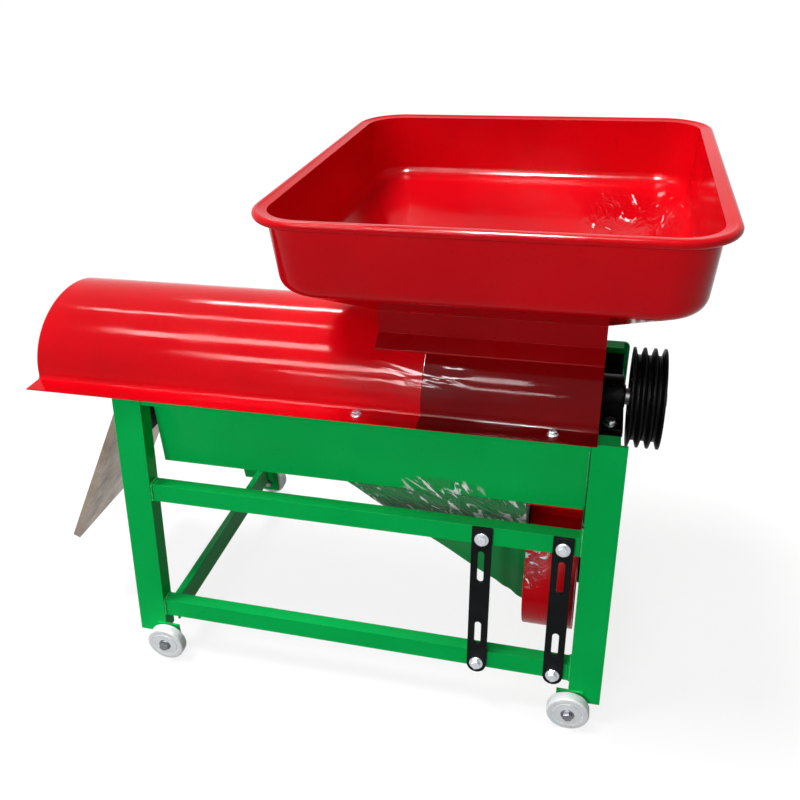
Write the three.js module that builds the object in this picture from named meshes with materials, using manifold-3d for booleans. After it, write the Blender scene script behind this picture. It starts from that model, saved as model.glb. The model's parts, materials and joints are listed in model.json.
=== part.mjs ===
// Corn sheller on a splayed four-legged frame, in millimetres, Z up.
// X runs from the cob end to the pulley end, Y from the front side to the rear side, and
// the model is drawn from the left end of the hood, the front of the frame and the feet.
// At the end the whole model is moved so that its origin is under its middle.

import * as THREE from 'three';
import { mergeVertices } from 'three/addons/utils/BufferGeometryUtils.js';
import Module from 'manifold-3d';

const wasm = await Module();
wasm.setup();

// Fits shared by every piece
const seat = 0.3;
const running = 0.5;
const overrun = 15;
const weldTolerance = 0.0001;

// Smoothness of round shapes, as counts
const rodSides = 16;
const pinSides = 8;
const studSides = 6;
const drumSides = 32;
const wheelSides = 24;
const archSides = 32;
const cornerSteps = 6;
const holeSteps = 4;

// Frame
const hoodOverhang = 144.6;
const frameLength = 773;
const frameWidth = 323;
const frameHeight = 425;
const legSplayShare = 0.161;
const legFlange = 48;
const legReturn = 27;
const legWall = 5;
const legCornerRadius = 10;

// Rails
const railHeight = 28.6;
const railDepth = 20;
const railWall = 4;
const railRecess = 3.6;
const midRailDrop = 147.5;
const lowRailTop = 61.5;
const topRailDrop = 12;
const sideRailHeight = 53.5;
const sideRailWidth = 13;
const sideRailGap = 9.4;

// End beams that carry the drum bearings
const beamDrop = 46;
const beamWidth = 36;
const beamDepth = 26;
const beamWall = 4;
const beamTabHeight = 24;

// Side panels, sieve and end plate
const panelInset = 28;
const panelSheet = 2;
const panelDrop = 132;
const sieveSideGap = 46.5;
const sieveSheet = 2;
const sieveEndGap = 3.4;
const sieveSlotLength = 52;
const sieveSlotWidth = 13;
const sieveSlotPitch = 66;
const sieveSlotColumns = 4;
const sieveSlotAngles = [-64, -32, 0, 32, 64];
const endPlateSheet = 2;
const endPlateInset = 9;
const shaftHoleMargin = 6;

// Hood and feed cover
const coverEndGap = 40.6;
const feedCoverLength = 250;
const coverSheet = 2;
const coverSideGap = 27.9;
const coverFlattening = 27.1;
const coverFlange = 35.9;
const feedEndMargin = 15;
const feedOpeningLength = 290;
const feedSideMargin = 72.1;

// Throat
const throatLeftMargin = 21;
const throatSideMargin = 5;
const throatNeck = 22.2;
const throatSheet = 2;
const saddleFlange = 25;

// Hopper pan
const panEndReach = 139;
const panFrontReach = 50;
const panRearReach = 262;
const panRise = 169;
const beadRadius = 6;
const rimFlange = 18;
const rimCorner = 78;
const panSheet = 2;
const panDepth = 100;
const floorInset = 25;
const floorCorner = 60;
const throatCorner = 6;
const filletStart = 16;
const filletRunShare = 0.09;
const filletSteps = 5;

// Drum and its drive
const drumAxisDrop = 12.8;
const shaftRadius = 12.5;
const shaftStubLength = 6;
const shaftNose = 6;
const barrelShare = 0.653;
const barrelWall = 3;
const barrelLeftGap = 9;
const barrelRightGap = 14;
const discThickness = 4;
const discHoleShare = 1 / 4;
const discHoles = 5;
const beaterBars = 4;
const beaterBarWidth = 16;
const beaterBarHeight = 12;
const beaterEndGap = 6;
const studRadius = 5;
const studClearance = 20;
const studPitch = 75;
const pulleyRadius = 75.4;
const pulleyGap = 0.4;
const pulleyRims = 4;
const pulleyPitch = 14.83;
const rimLand = 3.5;
const grooveDepth = 11;
const grooveFloor = 5;
const hubRadius = 28;
const webRadius = 54;
const webSlope = 2;
const webRecess = 10;

// Drum bearing housings
const housingLength = 130;
const housingWidth = 38;
const housingFoot = 13;
const housingRadius = 32;
const housingBodyWidth = 30;
const insertRadius = 18;
const housingBoltMargin = 13;

// Hexagon bolts, each with its washer and nut
const bearingBolt = {
  shank: 5, head: 8.5, headHeight: 7, washer: 10, washerThick: 2, nut: 8.5, nutHeight: 8,
};
const barBolt = { shank: 4, head: 7.5, headHeight: 6, washer: 10.5, washerThick: 2, nut: 7, nutHeight: 6.5 };
const coverBolt = {
  shank: 3, head: 6.2, headHeight: 5, washer: 8, washerThick: 1.5, nut: 6.2, nutHeight: 5,
};
const axleBolt = { shank: 5, head: 8, headHeight: 5, washer: 10, washerThick: 1.5, nut: 7.5, nutHeight: 7 };
const boltTail = 3;
const coverBoltInset = 11;
const hoodBoltMargin = 91.5;
const feedBoltMargin = 60.6;

// Slotted bars for a motor
const barWidth = 30;
const barThickness = 5;
const barFoot = 26;
const leftBarInset = 205.6;
const rightBarInset = 88.6;
const upperBoltDrop = 17.5;
const lowerBoltDrop = 18.5;
const barSlotWidth = 10;
const upperSlotShares = [0.636, 0.851];
const lowerSlotShares = [0.203, 0.366];

// Wheels
const wheelRadius = 32.2;
const wheelWidth = 17.4;
const wheelEdge = 2.2;
const wheelGrooveRadius = 21;
const wheelGrooveWidth = 3;
const wheelGrooveDepth = 1.5;
const wheelDrop = 8.5;
const wheelStandOff = 3;
const leftWheelInset = 52.9;
const rightWheelInset = 45.8;
const axlePlateWidth = 40;
const axlePlateThickness = 4;
const axlePlateTop = 20;
const axlePlateBottom = -28;

// Grain chute
const chuteInset = 133.6;
const chuteLength = 276;
const chuteSheet = 2;
const chuteFoot = 37;
const chuteMouthHalfWidth = 66.5;
const chuteMouthLength = 34;
const chuteMouthLip = 3;

// Fan
const fanOffset = 31.5;
const fanAxisZ = 103;
const fanLeftGap = 1;
const fanWidth = 82;
const fanRadius = 108;
const fanSheet = 2;
const neckOffset = 14;
const neckDepth = 94;
const neckFlange = 3;
const portDrop = 8;
const portHeight = 70;
const portMargin = 6;
const inletRadius = 52;
const inletBridge = 36;
const impellerRadius = 85;
const impellerDisc = 3;
const impellerGap = 8;
const bladeWidth = 46;
const bladeThickness = 2.5;
const blades = 6;
const impellerHub = 20;
const fanShaftRadius = 10;
const fanShaftStub = 14;
const fanBearingLength = 78;
const fanBearingHeight = 34;
const fanBearingPlate = 8;
const fanBearingBoss = 18;

// Cob chute
const cobChuteFoot = 89;
const cobChuteReach = 21;
const cobChuteDrop = 57;
const cobChuteGap = 16.6;
const cobChuteFront = 35;
const cobChuteRearMargin = 33;
const cobChuteSheet = 1.5;
const cobChuteFold = 12;
const cobChuteTab = 20;

// Finishes
const greenPaint = { color: 0x149a4e, roughness: 0.4, metalness: 0 };
const redPaint = { color: 0xc4101c, roughness: 0.25, metalness: 0 };
const darkRedPaint = { color: 0x8a0d16, roughness: 0.4, metalness: 0 };
const blackPaint = { color: 0x141416, roughness: 0.45, metalness: 0.1 };
const zinc = { color: 0xb8bcc0, roughness: 0.35, metalness: 1 };
const galvanised = { color: 0x9a958c, roughness: 0.5, metalness: 1 };
const bareSteel = { color: 0x8d8f92, roughness: 0.4, metalness: 1 };
const whitePlastic = { color: 0xdfe3e6, roughness: 0.5, metalness: 0 };

// Places that follow from the driving dimensions
const frameLeft = hoodOverhang;
const frameRight = frameLeft + frameLength;
const midY = frameWidth / 2;
const legInnerLeft = frameLeft + legFlange;
const legInnerRight = frameRight - legFlange;
const drumAxisZ = frameHeight - drumAxisDrop;
const coverBase = frameHeight + seat;
const panelFoot = frameHeight - panelDrop;
const midRailTop = frameHeight - midRailDrop;
const beamTop = frameHeight - beamDrop;
const coverLength = frameRight - coverEndGap;
const hoodLength = coverLength - feedCoverLength;
const coverHalfWidth = midY - coverSideGap;
const coverRise = coverHalfWidth - coverFlattening;
const feedRight = coverLength - feedEndMargin;
const feedLeft = feedRight - feedOpeningLength;
const feedHalfWidth = coverHalfWidth - feedSideMargin;
const throatLeft = feedLeft - throatLeftMargin;
const throatHalfWidth = feedHalfWidth + throatSideMargin;
const throatTop = coverBase + coverSheet + coverRise + throatNeck;
const rimHeight = throatTop + panRise;
const housingBoltOffset = housingLength / 2 - housingBoltMargin;
const hoodBoltX = hoodLength - hoodBoltMargin;
const feedBoltX = coverLength - feedBoltMargin;
const leftBeamX = legInnerLeft - legWall - seat - beamWidth;
const rightBeamX = legInnerRight + legWall + seat;
const pulleyStart = frameRight + pulleyGap;
const pulleyWidth = (pulleyRims - 1) * pulleyPitch + rimLand;
const sieveLeft = legInnerLeft + sieveEndGap;
const endPlateRight = coverLength - endPlateInset;
const endPlateLeft = endPlateRight - endPlateSheet;
const sieveRight = endPlateLeft - seat;
const sieveRadius = midY - sieveSideGap;
const studReach = sieveRadius - studClearance;
const barrelRadius = studReach * barrelShare;
const chuteRight = frameRight - chuteInset;
const chuteLeft = chuteRight - chuteLength;
const fanLeft = chuteRight + fanLeftGap;
const fanRight = fanLeft + fanWidth;
const fanAxisY = midY - fanOffset;
const neckFront = fanAxisY - neckOffset;
const neckRear = neckFront + neckDepth;
const portTop = panelFoot - portDrop;
const portBottom = portTop - portHeight;
const leftBarX = frameRight - leftBarInset;
const rightBarX = frameRight - rightBarInset;
const barUpperBolt = midRailTop - upperBoltDrop;
const barLowerBolt = lowRailTop - lowerBoltDrop;

// The outer face of the front legs at a height, as they splay
const frontFace = (z) => (z - frameHeight) * legSplayShare;

const axisX = new THREE.Vector3(1, 0, 0);
const axisY = new THREE.Vector3(0, 1, 0);
const axisZ = new THREE.Vector3(0, 0, 1);
const along = {
  x: new THREE.Matrix4().makeRotationZ(-Math.PI / 2),
  y: new THREE.Matrix4(),
  z: new THREE.Matrix4().makeRotationX(Math.PI / 2),
};

// Shear that leans the front of the frame out towards its feet
const splay = new THREE.Matrix4().set(
  1, 0, 0, 0,
  0, 1, legSplayShare, -legSplayShare * frameHeight,
  0, 0, 1, 0,
  0, 0, 0, 1,
);

// Turns faces outwards where a profile or a mirror has drawn them inwards
function outward(geometry) {
  const position = geometry.attributes.position;
  const index = geometry.index.array;
  const [a, b, c] = [new THREE.Vector3(), new THREE.Vector3(), new THREE.Vector3()];
  let volume = 0;
  for (let i = 0; i < index.length; i += 3) {
    a.fromBufferAttribute(position, index[i]);
    b.fromBufferAttribute(position, index[i + 1]);
    c.fromBufferAttribute(position, index[i + 2]);
    volume += a.dot(b.cross(c));
  }
  if (volume < 0) {
    for (let i = 0; i < index.length; i += 3) {
      [index[i], index[i + 1]] = [index[i + 1], index[i]];
    }
  }
  return geometry;
}

function welded(geometry) {
  if (geometry.index && !geometry.attributes.normal) {
    return geometry;
  }
  const bare = geometry.clone();
  bare.deleteAttribute('normal');
  bare.deleteAttribute('uv');
  return outward(mergeVertices(bare, weldTolerance));
}

function toSolid(geometry) {
  const shell = welded(geometry);
  return new wasm.Manifold(new wasm.Mesh({
    numProp: 3,
    vertProperties: new Float32Array(shell.attributes.position.array),
    triVerts: new Uint32Array(shell.index.array),
  }));
}

function fromSolid(solid) {
  const mesh = solid.getMesh();
  const geometry = new THREE.BufferGeometry();
  geometry.setAttribute('position', new THREE.BufferAttribute(mesh.vertProperties, 3));
  geometry.setIndex(new THREE.BufferAttribute(mesh.triVerts, 1));
  return geometry;
}

function join(...pieces) {
  return fromSolid(pieces.map(toSolid).reduce((whole, piece) => whole.add(piece)));
}

function cut(piece, ...tools) {
  return fromSolid(tools.map(toSolid).reduce((rest, tool) => rest.subtract(tool), toSolid(piece)));
}

function box(x0, x1, y0, y1, z0, z1) {
  const geometry = new THREE.BoxGeometry(x1 - x0, y1 - y0, z1 - z0);
  return geometry.translate((x0 + x1) / 2, (y0 + y1) / 2, (z0 + z1) / 2);
}

function rod(axis, radius, from, to, sides = rodSides) {
  const geometry = new THREE.CylinderGeometry(radius, radius, to - from, sides);
  return geometry.translate(0, (from + to) / 2, 0).applyMatrix4(along[axis]);
}

function extruded(shape, depth) {
  return new THREE.ExtrudeGeometry(shape, { depth, bevelEnabled: false, curveSegments: holeSteps });
}

// A plate whose outline is drawn in Y and Z
function plateX(shape, x0, x1) {
  const turn = new THREE.Matrix4().makeBasis(axisY, axisZ, axisX);
  return extruded(shape, x1 - x0).applyMatrix4(turn).translate(x0, 0, 0);
}

// A plate whose outline is drawn in X and Z
function plateY(shape, y0, y1) {
  const turn = new THREE.Matrix4().makeBasis(axisX, axisZ, axisY.clone().negate());
  return extruded(shape, y1 - y0).applyMatrix4(turn).translate(0, y1, 0);
}

function outline(points) {
  return new THREE.Shape(points.map(([u, v]) => new THREE.Vector2(u, v)));
}

function roundHole(shape, u, v, radius) {
  const path = new THREE.Path();
  path.absarc(u, v, radius, 0, 2 * Math.PI, true);
  shape.holes.push(path);
}

function slotHole(shape, u, bottom, top, width) {
  const radius = width / 2;
  const path = new THREE.Path();
  path.absarc(u, top - radius, radius, 0, Math.PI, false);
  path.absarc(u, bottom + radius, radius, Math.PI, 2 * Math.PI, false);
  shape.holes.push(path);
}

// The same piece on the rear side of the frame
function mirrored(geometry) {
  const flip = new THREE.Matrix4().makeScale(1, -1, 1);
  flip.setPosition(0, frameWidth, 0);
  const copy = welded(geometry).clone();
  return outward(copy.applyMatrix4(flip));
}

function addPart(parent, name, geometry, finish) {
  const material = new THREE.MeshStandardMaterial({ ...finish, flatShading: true });
  const mesh = new THREE.Mesh(welded(geometry), material);
  mesh.name = name;
  parent.add(mesh);
  return mesh;
}

// A hexagon bolt along Z with its washer on the plane z = 0 and its nut under the grip
function boltGeometry(size, grip) {
  const nutTop = -grip - seat;
  const washerTop = seat + size.washerThick;
  const nutBottom = nutTop - size.nutHeight;
  return join(
    rod('z', size.shank, nutBottom - boltTail, washerTop, pinSides),
    rod('z', size.washer, seat, washerTop),
    rod('z', size.head, washerTop - weldTolerance, washerTop + size.headHeight, 6),
    rod('z', size.nut, nutBottom, nutTop, 6),
  );
}

function addBolt(parent, name, size, grip, place, direction) {
  const mesh = addPart(parent, name, boltGeometry(size, grip), zinc);
  mesh.position.copy(place);
  mesh.quaternion.setFromUnitVectors(axisZ, direction);
  return mesh;
}

const sheller = new THREE.Group();

// Legs, with the plate that carries the wheel welded to the foot

function leg(left, returnLeft, wheelX, roundedTop) {
  const right = left + legFlange;
  const roundEnd = frameHeight - legCornerRadius;
  const face = new THREE.Shape();
  face.moveTo(left, 0);
  face.lineTo(right, 0);
  if (roundedTop) {
    face.absarc(right - legCornerRadius, roundEnd, legCornerRadius, 0, Math.PI / 2, false);
  } else {
    face.lineTo(right, frameHeight);
  }
  face.lineTo(left, frameHeight);
  const angle = join(
    plateY(face, 0, legWall),
    box(returnLeft, returnLeft + legWall, 0, legReturn, 0, frameHeight),
    box(left, right - legCornerRadius, 0, legReturn, frameHeight - legWall, frameHeight),
  ).applyMatrix4(splay);
  const plateFront = frontFace(0);
  const plate = box(
    wheelX - axlePlateWidth / 2, wheelX + axlePlateWidth / 2,
    plateFront, plateFront + axlePlateThickness,
    axlePlateBottom, axlePlateTop,
  );
  const bore = rod('y', axleBolt.shank + seat, plateFront - overrun, plateFront + overrun, pinSides);
  return cut(join(angle, plate), bore.translate(wheelX, 0, -wheelDrop));
}

const leftWheelX = frameLeft + leftWheelInset;
const rightWheelX = frameRight - rightWheelInset;

function addLegs(frame) {
  const left = () => leg(frameLeft, legInnerLeft - legWall, leftWheelX, false);
  const right = (rounded) => leg(legInnerRight, legInnerRight, rightWheelX, rounded);
  addPart(frame, 'leg_front_left', left(), greenPaint);
  addPart(frame, 'leg_front_right', right(false), greenPaint);
  addPart(frame, 'leg_rear_left', mirrored(left()), greenPaint);
  addPart(frame, 'leg_rear_right', mirrored(right(true)), greenPaint);
}

// A hole square to the leaning front face at a point on the rails
const leanNormal = new THREE.Vector3(0, -1, legSplayShare).normalize();

function barBoltPlace(x, z) {
  return new THREE.Vector3(x, frontFace(z) + railRecess - seat - barThickness, z);
}

function barBoltHole(x, z) {
  const tool = rod('z', barBolt.shank + seat, -overrun, overrun, pinSides);
  const turn = new THREE.Quaternion().setFromUnitVectors(axisZ, leanNormal);
  const place = barBoltPlace(x, z);
  return tool.applyQuaternion(turn).translate(place.x, place.y, place.z);
}

const leftBarMid = leftBarX + barWidth / 2;
const rightBarMid = rightBarX + barWidth / 2;

function crossRail(top) {
  const x0 = legInnerLeft + seat;
  const x1 = legInnerRight - seat;
  return join(
    box(x0, x1, railRecess, railRecess + railWall, top - railHeight, top),
    box(x0, x1, railRecess, railRecess + railDepth, top - railWall, top),
  ).applyMatrix4(splay);
}

function addCrossRails(frame) {
  const rails = [['mid_rail', midRailTop, barUpperBolt], ['lower_rail', lowRailTop, barLowerBolt]];
  rails.forEach(([name, top, boltZ]) => {
    const front = cut(crossRail(top), barBoltHole(leftBarMid, boltZ), barBoltHole(rightBarMid, boltZ));
    addPart(frame, `${name}_front`, front, greenPaint);
    addPart(frame, `${name}_rear`, mirrored(crossRail(top)), greenPaint);
  });
}

function coverBoltHole(x) {
  const hole = rod('z', coverBolt.shank + seat, coverBase - overrun, coverBase + overrun, pinSides);
  return hole.translate(x, coverBoltInset, 0);
}

function topRail() {
  const x0 = legInnerLeft + seat;
  const x1 = legInnerRight - seat;
  const angle = join(
    box(x0, x1, 0, railWall, frameHeight - topRailDrop, frameHeight),
    box(x0, x1, 0, panelInset - seat, frameHeight - railWall, frameHeight),
  );
  return cut(angle, coverBoltHole(hoodBoltX), coverBoltHole(feedBoltX));
}

function addTopRails(frame) {
  addPart(frame, 'top_rail_front', topRail(), greenPaint);
  addPart(frame, 'top_rail_rear', mirrored(topRail()), greenPaint);
}

// A strip of the frame's cross section between two heights, with leaning ends
function crossStrip(inset, bottom, top) {
  return outline([
    [frontFace(bottom) + inset, bottom],
    [frameWidth - frontFace(bottom) - inset, bottom],
    [frameWidth - frontFace(top) - inset, top],
    [frontFace(top) + inset, top],
  ]);
}

function sideRail(left, inset) {
  const bottom = lowRailTop - sideRailHeight;
  return join(
    plateX(crossStrip(inset, bottom, lowRailTop), left, left + railWall),
    plateX(crossStrip(inset, lowRailTop - railWall, lowRailTop), left, left + sideRailWidth),
  );
}

function addSideRails(frame) {
  const behindRail = railRecess + railDepth + seat;
  const behindLeg = legWall + seat;
  addPart(frame, 'lower_side_rail_left', sideRail(legInnerLeft + sideRailGap, behindRail), greenPaint);
  addPart(frame, 'lower_side_rail_right', sideRail(legInnerRight + behindLeg, behindLeg), greenPaint);
}

// End beams: an inverted channel with an upturned tab at each end

function housingBoltHole(x, y) {
  const toolTop = beamTop + housingFoot + overrun;
  const tool = rod('z', bearingBolt.shank + seat, beamTop - overrun, toolTop, pinSides);
  return tool.translate(x, y, 0);
}

function endBeam(left) {
  const right = left + beamWidth;
  const inset = legWall + seat;
  const bottom = beamTop - beamDepth;
  const under = beamTop - beamWall;
  const tabTop = beamTop + beamTabHeight;
  const tab = plateX(outline([
    [frontFace(under) + inset, under],
    [frontFace(under) + inset + beamWall, under],
    [frontFace(tabTop) + inset + beamWall, tabTop],
    [frontFace(tabTop) + inset, tabTop],
  ]), left, right);
  const beam = join(
    plateX(crossStrip(inset, under, beamTop), left, right),
    plateX(crossStrip(inset, bottom, beamTop), left, left + beamWall),
    plateX(crossStrip(inset, bottom, beamTop), right - beamWall, right),
    tab,
    mirrored(tab),
  );
  const middle = left + beamWidth / 2;
  return cut(
    beam,
    housingBoltHole(middle, midY - housingBoltOffset),
    housingBoltHole(middle, midY + housingBoltOffset),
  );
}

function addEndBeams(frame) {
  addPart(frame, 'end_beam_left', endBeam(leftBeamX), blackPaint);
  addPart(frame, 'end_beam_right', endBeam(rightBeamX), blackPaint);
}

// Side panels between the end beams

function sidePanel() {
  return box(sieveLeft, endPlateRight, panelInset, panelInset + panelSheet, panelFoot, frameHeight);
}

function addSidePanels(frame) {
  addPart(frame, 'side_panel_front', sidePanel(), greenPaint);
  addPart(frame, 'side_panel_rear', mirrored(sidePanel()), greenPaint);
}

// Points of the half-round cover, from its front foot over the crest to its rear foot
function archPoints(halfWidth, base, rise) {
  const points = [];
  for (let i = 0; i <= archSides; i += 1) {
    const angle = Math.PI * (1 - i / archSides);
    points.push([midY + halfWidth * Math.cos(angle), base + rise * Math.sin(angle)]);
  }
  return points;
}

function coverProfile() {
  const top = coverBase + coverSheet;
  const foot = coverHalfWidth + coverFlange;
  const outer = archPoints(coverHalfWidth, top, coverRise);
  const inner = archPoints(coverHalfWidth - coverSheet, coverBase, coverRise).reverse();
  return outline([
    [midY - foot, coverBase], [midY - foot, top],
    ...outer,
    [midY + foot, top], [midY + foot, coverBase],
    ...inner,
  ]);
}

function feedOpening() {
  const crest = coverBase + coverRise;
  return box(
    feedLeft, feedRight,
    midY - feedHalfWidth, midY + feedHalfWidth,
    crest - panelDrop / 2, crest + overrun,
  );
}

function coverPiece(x0, x1, boltX) {
  return cut(
    plateX(coverProfile(), x0, x1),
    feedOpening(),
    coverBoltHole(boltX),
    mirrored(coverBoltHole(boltX)),
  );
}

function addCovers(body) {
  addPart(body, 'drum_hood', coverPiece(0, hoodLength, hoodBoltX), redPaint);
  addPart(body, 'feed_cover', coverPiece(hoodLength + seat, coverLength, feedBoltX), redPaint);
}

// Plate that closes the pulley end of the trough under the feed cover
function endPlate() {
  const inside = midY - panelInset - panelSheet - seat;
  const halfWidth = Math.min(inside, coverHalfWidth - coverSheet - seat);
  const shape = outline([
    [midY - inside, panelFoot],
    [midY + inside, panelFoot],
    ...archPoints(halfWidth, coverBase, coverRise - seat).reverse(),
  ]);
  roundHole(shape, midY, drumAxisZ, shaftRadius + shaftHoleMargin);
  return plateX(shape, endPlateLeft, endPlateRight);
}

// Half-round sieve under the drum, with lips that reach the side panels

function sieve() {
  const lip = midY - panelInset - panelSheet - seat;
  const ring = (radius) => {
    const points = [];
    for (let i = 0; i <= archSides; i += 1) {
      const angle = Math.PI * (1 + i / archSides);
      points.push([midY + radius * Math.cos(angle), drumAxisZ + radius * Math.sin(angle)]);
    }
    return points;
  };
  const inner = ring(sieveRadius - sieveSheet).reverse();
  inner[0][1] = drumAxisZ;
  const shape = outline([
    [midY - lip, drumAxisZ - sieveSheet],
    ...ring(sieveRadius).filter(([, z]) => z < drumAxisZ - sieveSheet),
    [midY + lip, drumAxisZ - sieveSheet],
    [midY + lip, drumAxisZ],
    ...inner,
    [midY - lip, drumAxisZ],
  ]);
  const slots = [];
  for (let column = 0; column < sieveSlotColumns; column += 1) {
    const fromMiddle = column - (sieveSlotColumns - 1) / 2;
    const x = chuteLeft + (chuteRight - chuteLeft) / 2 + fromMiddle * sieveSlotPitch;
    sieveSlotAngles.forEach((angle) => {
      const slot = box(
        x - sieveSlotLength / 2, x + sieveSlotLength / 2,
        -sieveSlotWidth / 2, sieveSlotWidth / 2,
        -sieveRadius - overrun, -sieveRadius + overrun,
      );
      slots.push(slot.rotateX(THREE.MathUtils.degToRad(angle)).translate(0, midY, drumAxisZ));
    });
  }
  return cut(plateX(shape, sieveLeft, sieveRight), ...slots);
}

function addTrough(body) {
  addPart(body, 'trough_end_plate', endPlate(), greenPaint);
  addPart(body, 'concave_sieve', sieve(), galvanised);
}

// Throat: a short square duct cut to the cover, with a flange lying on it at each side

function coverSkin(lift) {
  return outline(archPoints(coverHalfWidth + lift, coverBase + coverSheet, coverRise + lift));
}

function throat() {
  const front = midY - throatHalfWidth;
  const rear = midY + throatHalfWidth;
  const inside = coverBase + coverRise / 2;
  const duct = cut(
    box(throatLeft, coverLength, front, rear, inside, throatTop - seat),
    box(
      throatLeft + throatSheet, coverLength - throatSheet,
      front + throatSheet, rear - throatSheet,
      inside - overrun, throatTop + overrun,
    ),
  );
  const band = cut(
    plateX(coverSkin(seat + throatSheet), throatLeft, coverLength),
    box(
      throatLeft - overrun, coverLength + overrun,
      front + throatSheet / 2, rear - throatSheet / 2,
      coverBase - overrun, throatTop + overrun,
    ),
    box(
      throatLeft - overrun, coverLength + overrun,
      -overrun - panFrontReach, front - saddleFlange, 0, throatTop,
    ),
    box(
      throatLeft - overrun, coverLength + overrun,
      rear + saddleFlange, frameWidth + panRearReach, 0, throatTop,
    ),
  );
  const under = plateX(coverSkin(seat), throatLeft - overrun, coverLength + overrun);
  return cut(join(duct, band), under);
}

// Hopper pan: rings of rounded rectangles lofted down the outside, and back up the inside

function ring({ left, right, front, rear, corner, z }) {
  const centres = [
    [right - corner, rear - corner], [left + corner, rear - corner],
    [left + corner, front + corner], [right - corner, front + corner],
  ];
  const points = [];
  centres.forEach(([x, y], quarter) => {
    for (let i = 0; i <= cornerSteps; i += 1) {
      const angle = (quarter + i / cornerSteps) * Math.PI / 2;
      points.push(x + corner * Math.cos(angle), y + corner * Math.sin(angle), z);
    }
  });
  return points;
}

// Joins the rings in turn, and the last to the first, into one closed skin
function loft(stations) {
  const perRing = 4 * (cornerSteps + 1);
  const index = [];
  for (let i = 0; i < stations.length; i += 1) {
    const here = i * perRing;
    const next = ((i + 1) % stations.length) * perRing;
    for (let j = 0; j < perRing; j += 1) {
      const k = (j + 1) % perRing;
      index.push(here + j, here + k, next + k, here + j, next + k, next + j);
    }
  }
  const geometry = new THREE.BufferGeometry();
  geometry.setAttribute('position', new THREE.Float32BufferAttribute(stations.flatMap(ring), 3));
  geometry.setIndex(index);
  return outward(geometry);
}

function inset(station, amount, z) {
  return {
    left: station.left + amount,
    right: station.right - amount,
    front: station.front + amount,
    rear: station.rear - amount,
    corner: station.corner - amount,
    z,
  };
}

function between(a, b, share) {
  const mixed = {};
  Object.keys(a).forEach((key) => {
    mixed[key] = THREE.MathUtils.lerp(a[key], b[key], share);
  });
  return mixed;
}

const panRim = {
  left: throatLeft - panEndReach,
  right: coverLength + panEndReach,
  front: -panFrontReach,
  rear: frameWidth + panRearReach,
  corner: rimCorner,
  z: rimHeight,
};
const panFloor = {
  left: panRim.left + floorInset,
  right: panRim.right - floorInset,
  front: panRim.front + floorInset,
  rear: panRim.rear - floorInset,
  corner: floorCorner,
  z: rimHeight - panDepth,
};
const panFoot = {
  left: throatLeft,
  right: coverLength,
  front: midY - throatHalfWidth,
  rear: midY + throatHalfWidth,
  corner: throatCorner,
  z: throatTop,
};

// Outer skin from the throat up to the rim, with a rounded turn into the wall
function panStations() {
  const wallTop = inset(panRim, rimFlange, rimHeight - beadRadius / 2);
  const turnShare = filletStart / (wallTop.z - panFloor.z);
  const turnEnd = between(panFloor, wallTop, turnShare);
  const turnBegin = between(panFloor, panFoot, filletRunShare);
  const stations = [panFoot];
  for (let i = 0; i <= filletSteps; i += 1) {
    const share = i / filletSteps;
    stations.push(between(between(turnBegin, panFloor, share), between(panFloor, turnEnd, share), share));
  }
  stations.push(wallTop);
  return stations;
}

function beadStations() {
  const stations = [];
  const steps = [-3, -2, -1, 0, 1, 2, 3];
  steps.forEach((step) => {
    const angle = step * Math.PI / 4;
    const outwards = beadRadius - beadRadius * Math.cos(angle);
    stations.push(inset(panRim, outwards, rimHeight + beadRadius * Math.sin(angle)));
  });
  return stations;
}

function hopperPan() {
  const outer = panStations();
  const inner = outer.map((station, i) => {
    const top = i === outer.length - 1;
    return inset(station, panSheet, station.z + (top ? beadRadius : panSheet));
  });
  return loft([...outer, ...beadStations(), ...inner.reverse()]);
}

function addHopper(body) {
  addPart(body, 'hopper_throat', throat(), darkRedPaint);
  addPart(body, 'hopper_pan', hopperPan(), redPaint);
}

// Grain chute: a wedge of sheet, open at the top, with a port for the fan and a mouth below

function wedge(wall, reach) {
  const top = panelFoot - seat;
  const foot = chuteFoot + wall;
  const share = 1 + reach / (top - foot);
  const mouth = [midY - chuteMouthHalfWidth + wall, midY + chuteMouthHalfWidth - wall];
  const right = chuteRight - wall;
  const left = right - (chuteRight - chuteLeft - 2 * wall) * share;
  const front = mouth[0] - (mouth[0] - panelInset - wall) * share;
  const rear = frameWidth - front;
  const z = top + reach;
  const points = [
    [left, front, z], [right, front, z], [right, rear, z], [left, rear, z],
    [right, mouth[0], foot], [right, mouth[1], foot],
  ];
  const geometry = new THREE.BufferGeometry();
  geometry.setAttribute('position', new THREE.Float32BufferAttribute(points.flat(), 3));
  geometry.setIndex([0, 1, 2, 0, 2, 3, 0, 4, 1, 3, 2, 5, 1, 4, 5, 1, 5, 2, 0, 3, 5, 0, 5, 4]);
  return outward(geometry);
}

function grainChute() {
  const mouth = box(
    chuteRight - chuteMouthLength, chuteRight - chuteSheet,
    midY - chuteMouthHalfWidth + chuteMouthLip, midY + chuteMouthHalfWidth - chuteMouthLip,
    chuteFoot - overrun, chuteFoot + chuteMouthLength + chuteSheet + chuteMouthLip,
  );
  return cut(wedge(0, 0), wedge(chuteSheet, overrun), mouth, fanPort());
}

function fanPort() {
  return box(
    chuteRight - chuteSheet - overrun, fanLeft + fanSheet + seat,
    neckFront + portMargin, neckRear - portMargin,
    portBottom, portTop,
  );
}

// Fan: a round casing with a neck up to the trough, and a cover with the air inlet

function fanOutline(wall, neckTop, x0, x1) {
  const drum = rod('x', fanRadius - wall, x0, x1, drumSides).translate(0, fanAxisY, fanAxisZ);
  const neck = box(x0, x1, neckFront + wall, neckRear - wall, fanAxisZ, neckTop);
  return join(drum, neck);
}

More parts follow.
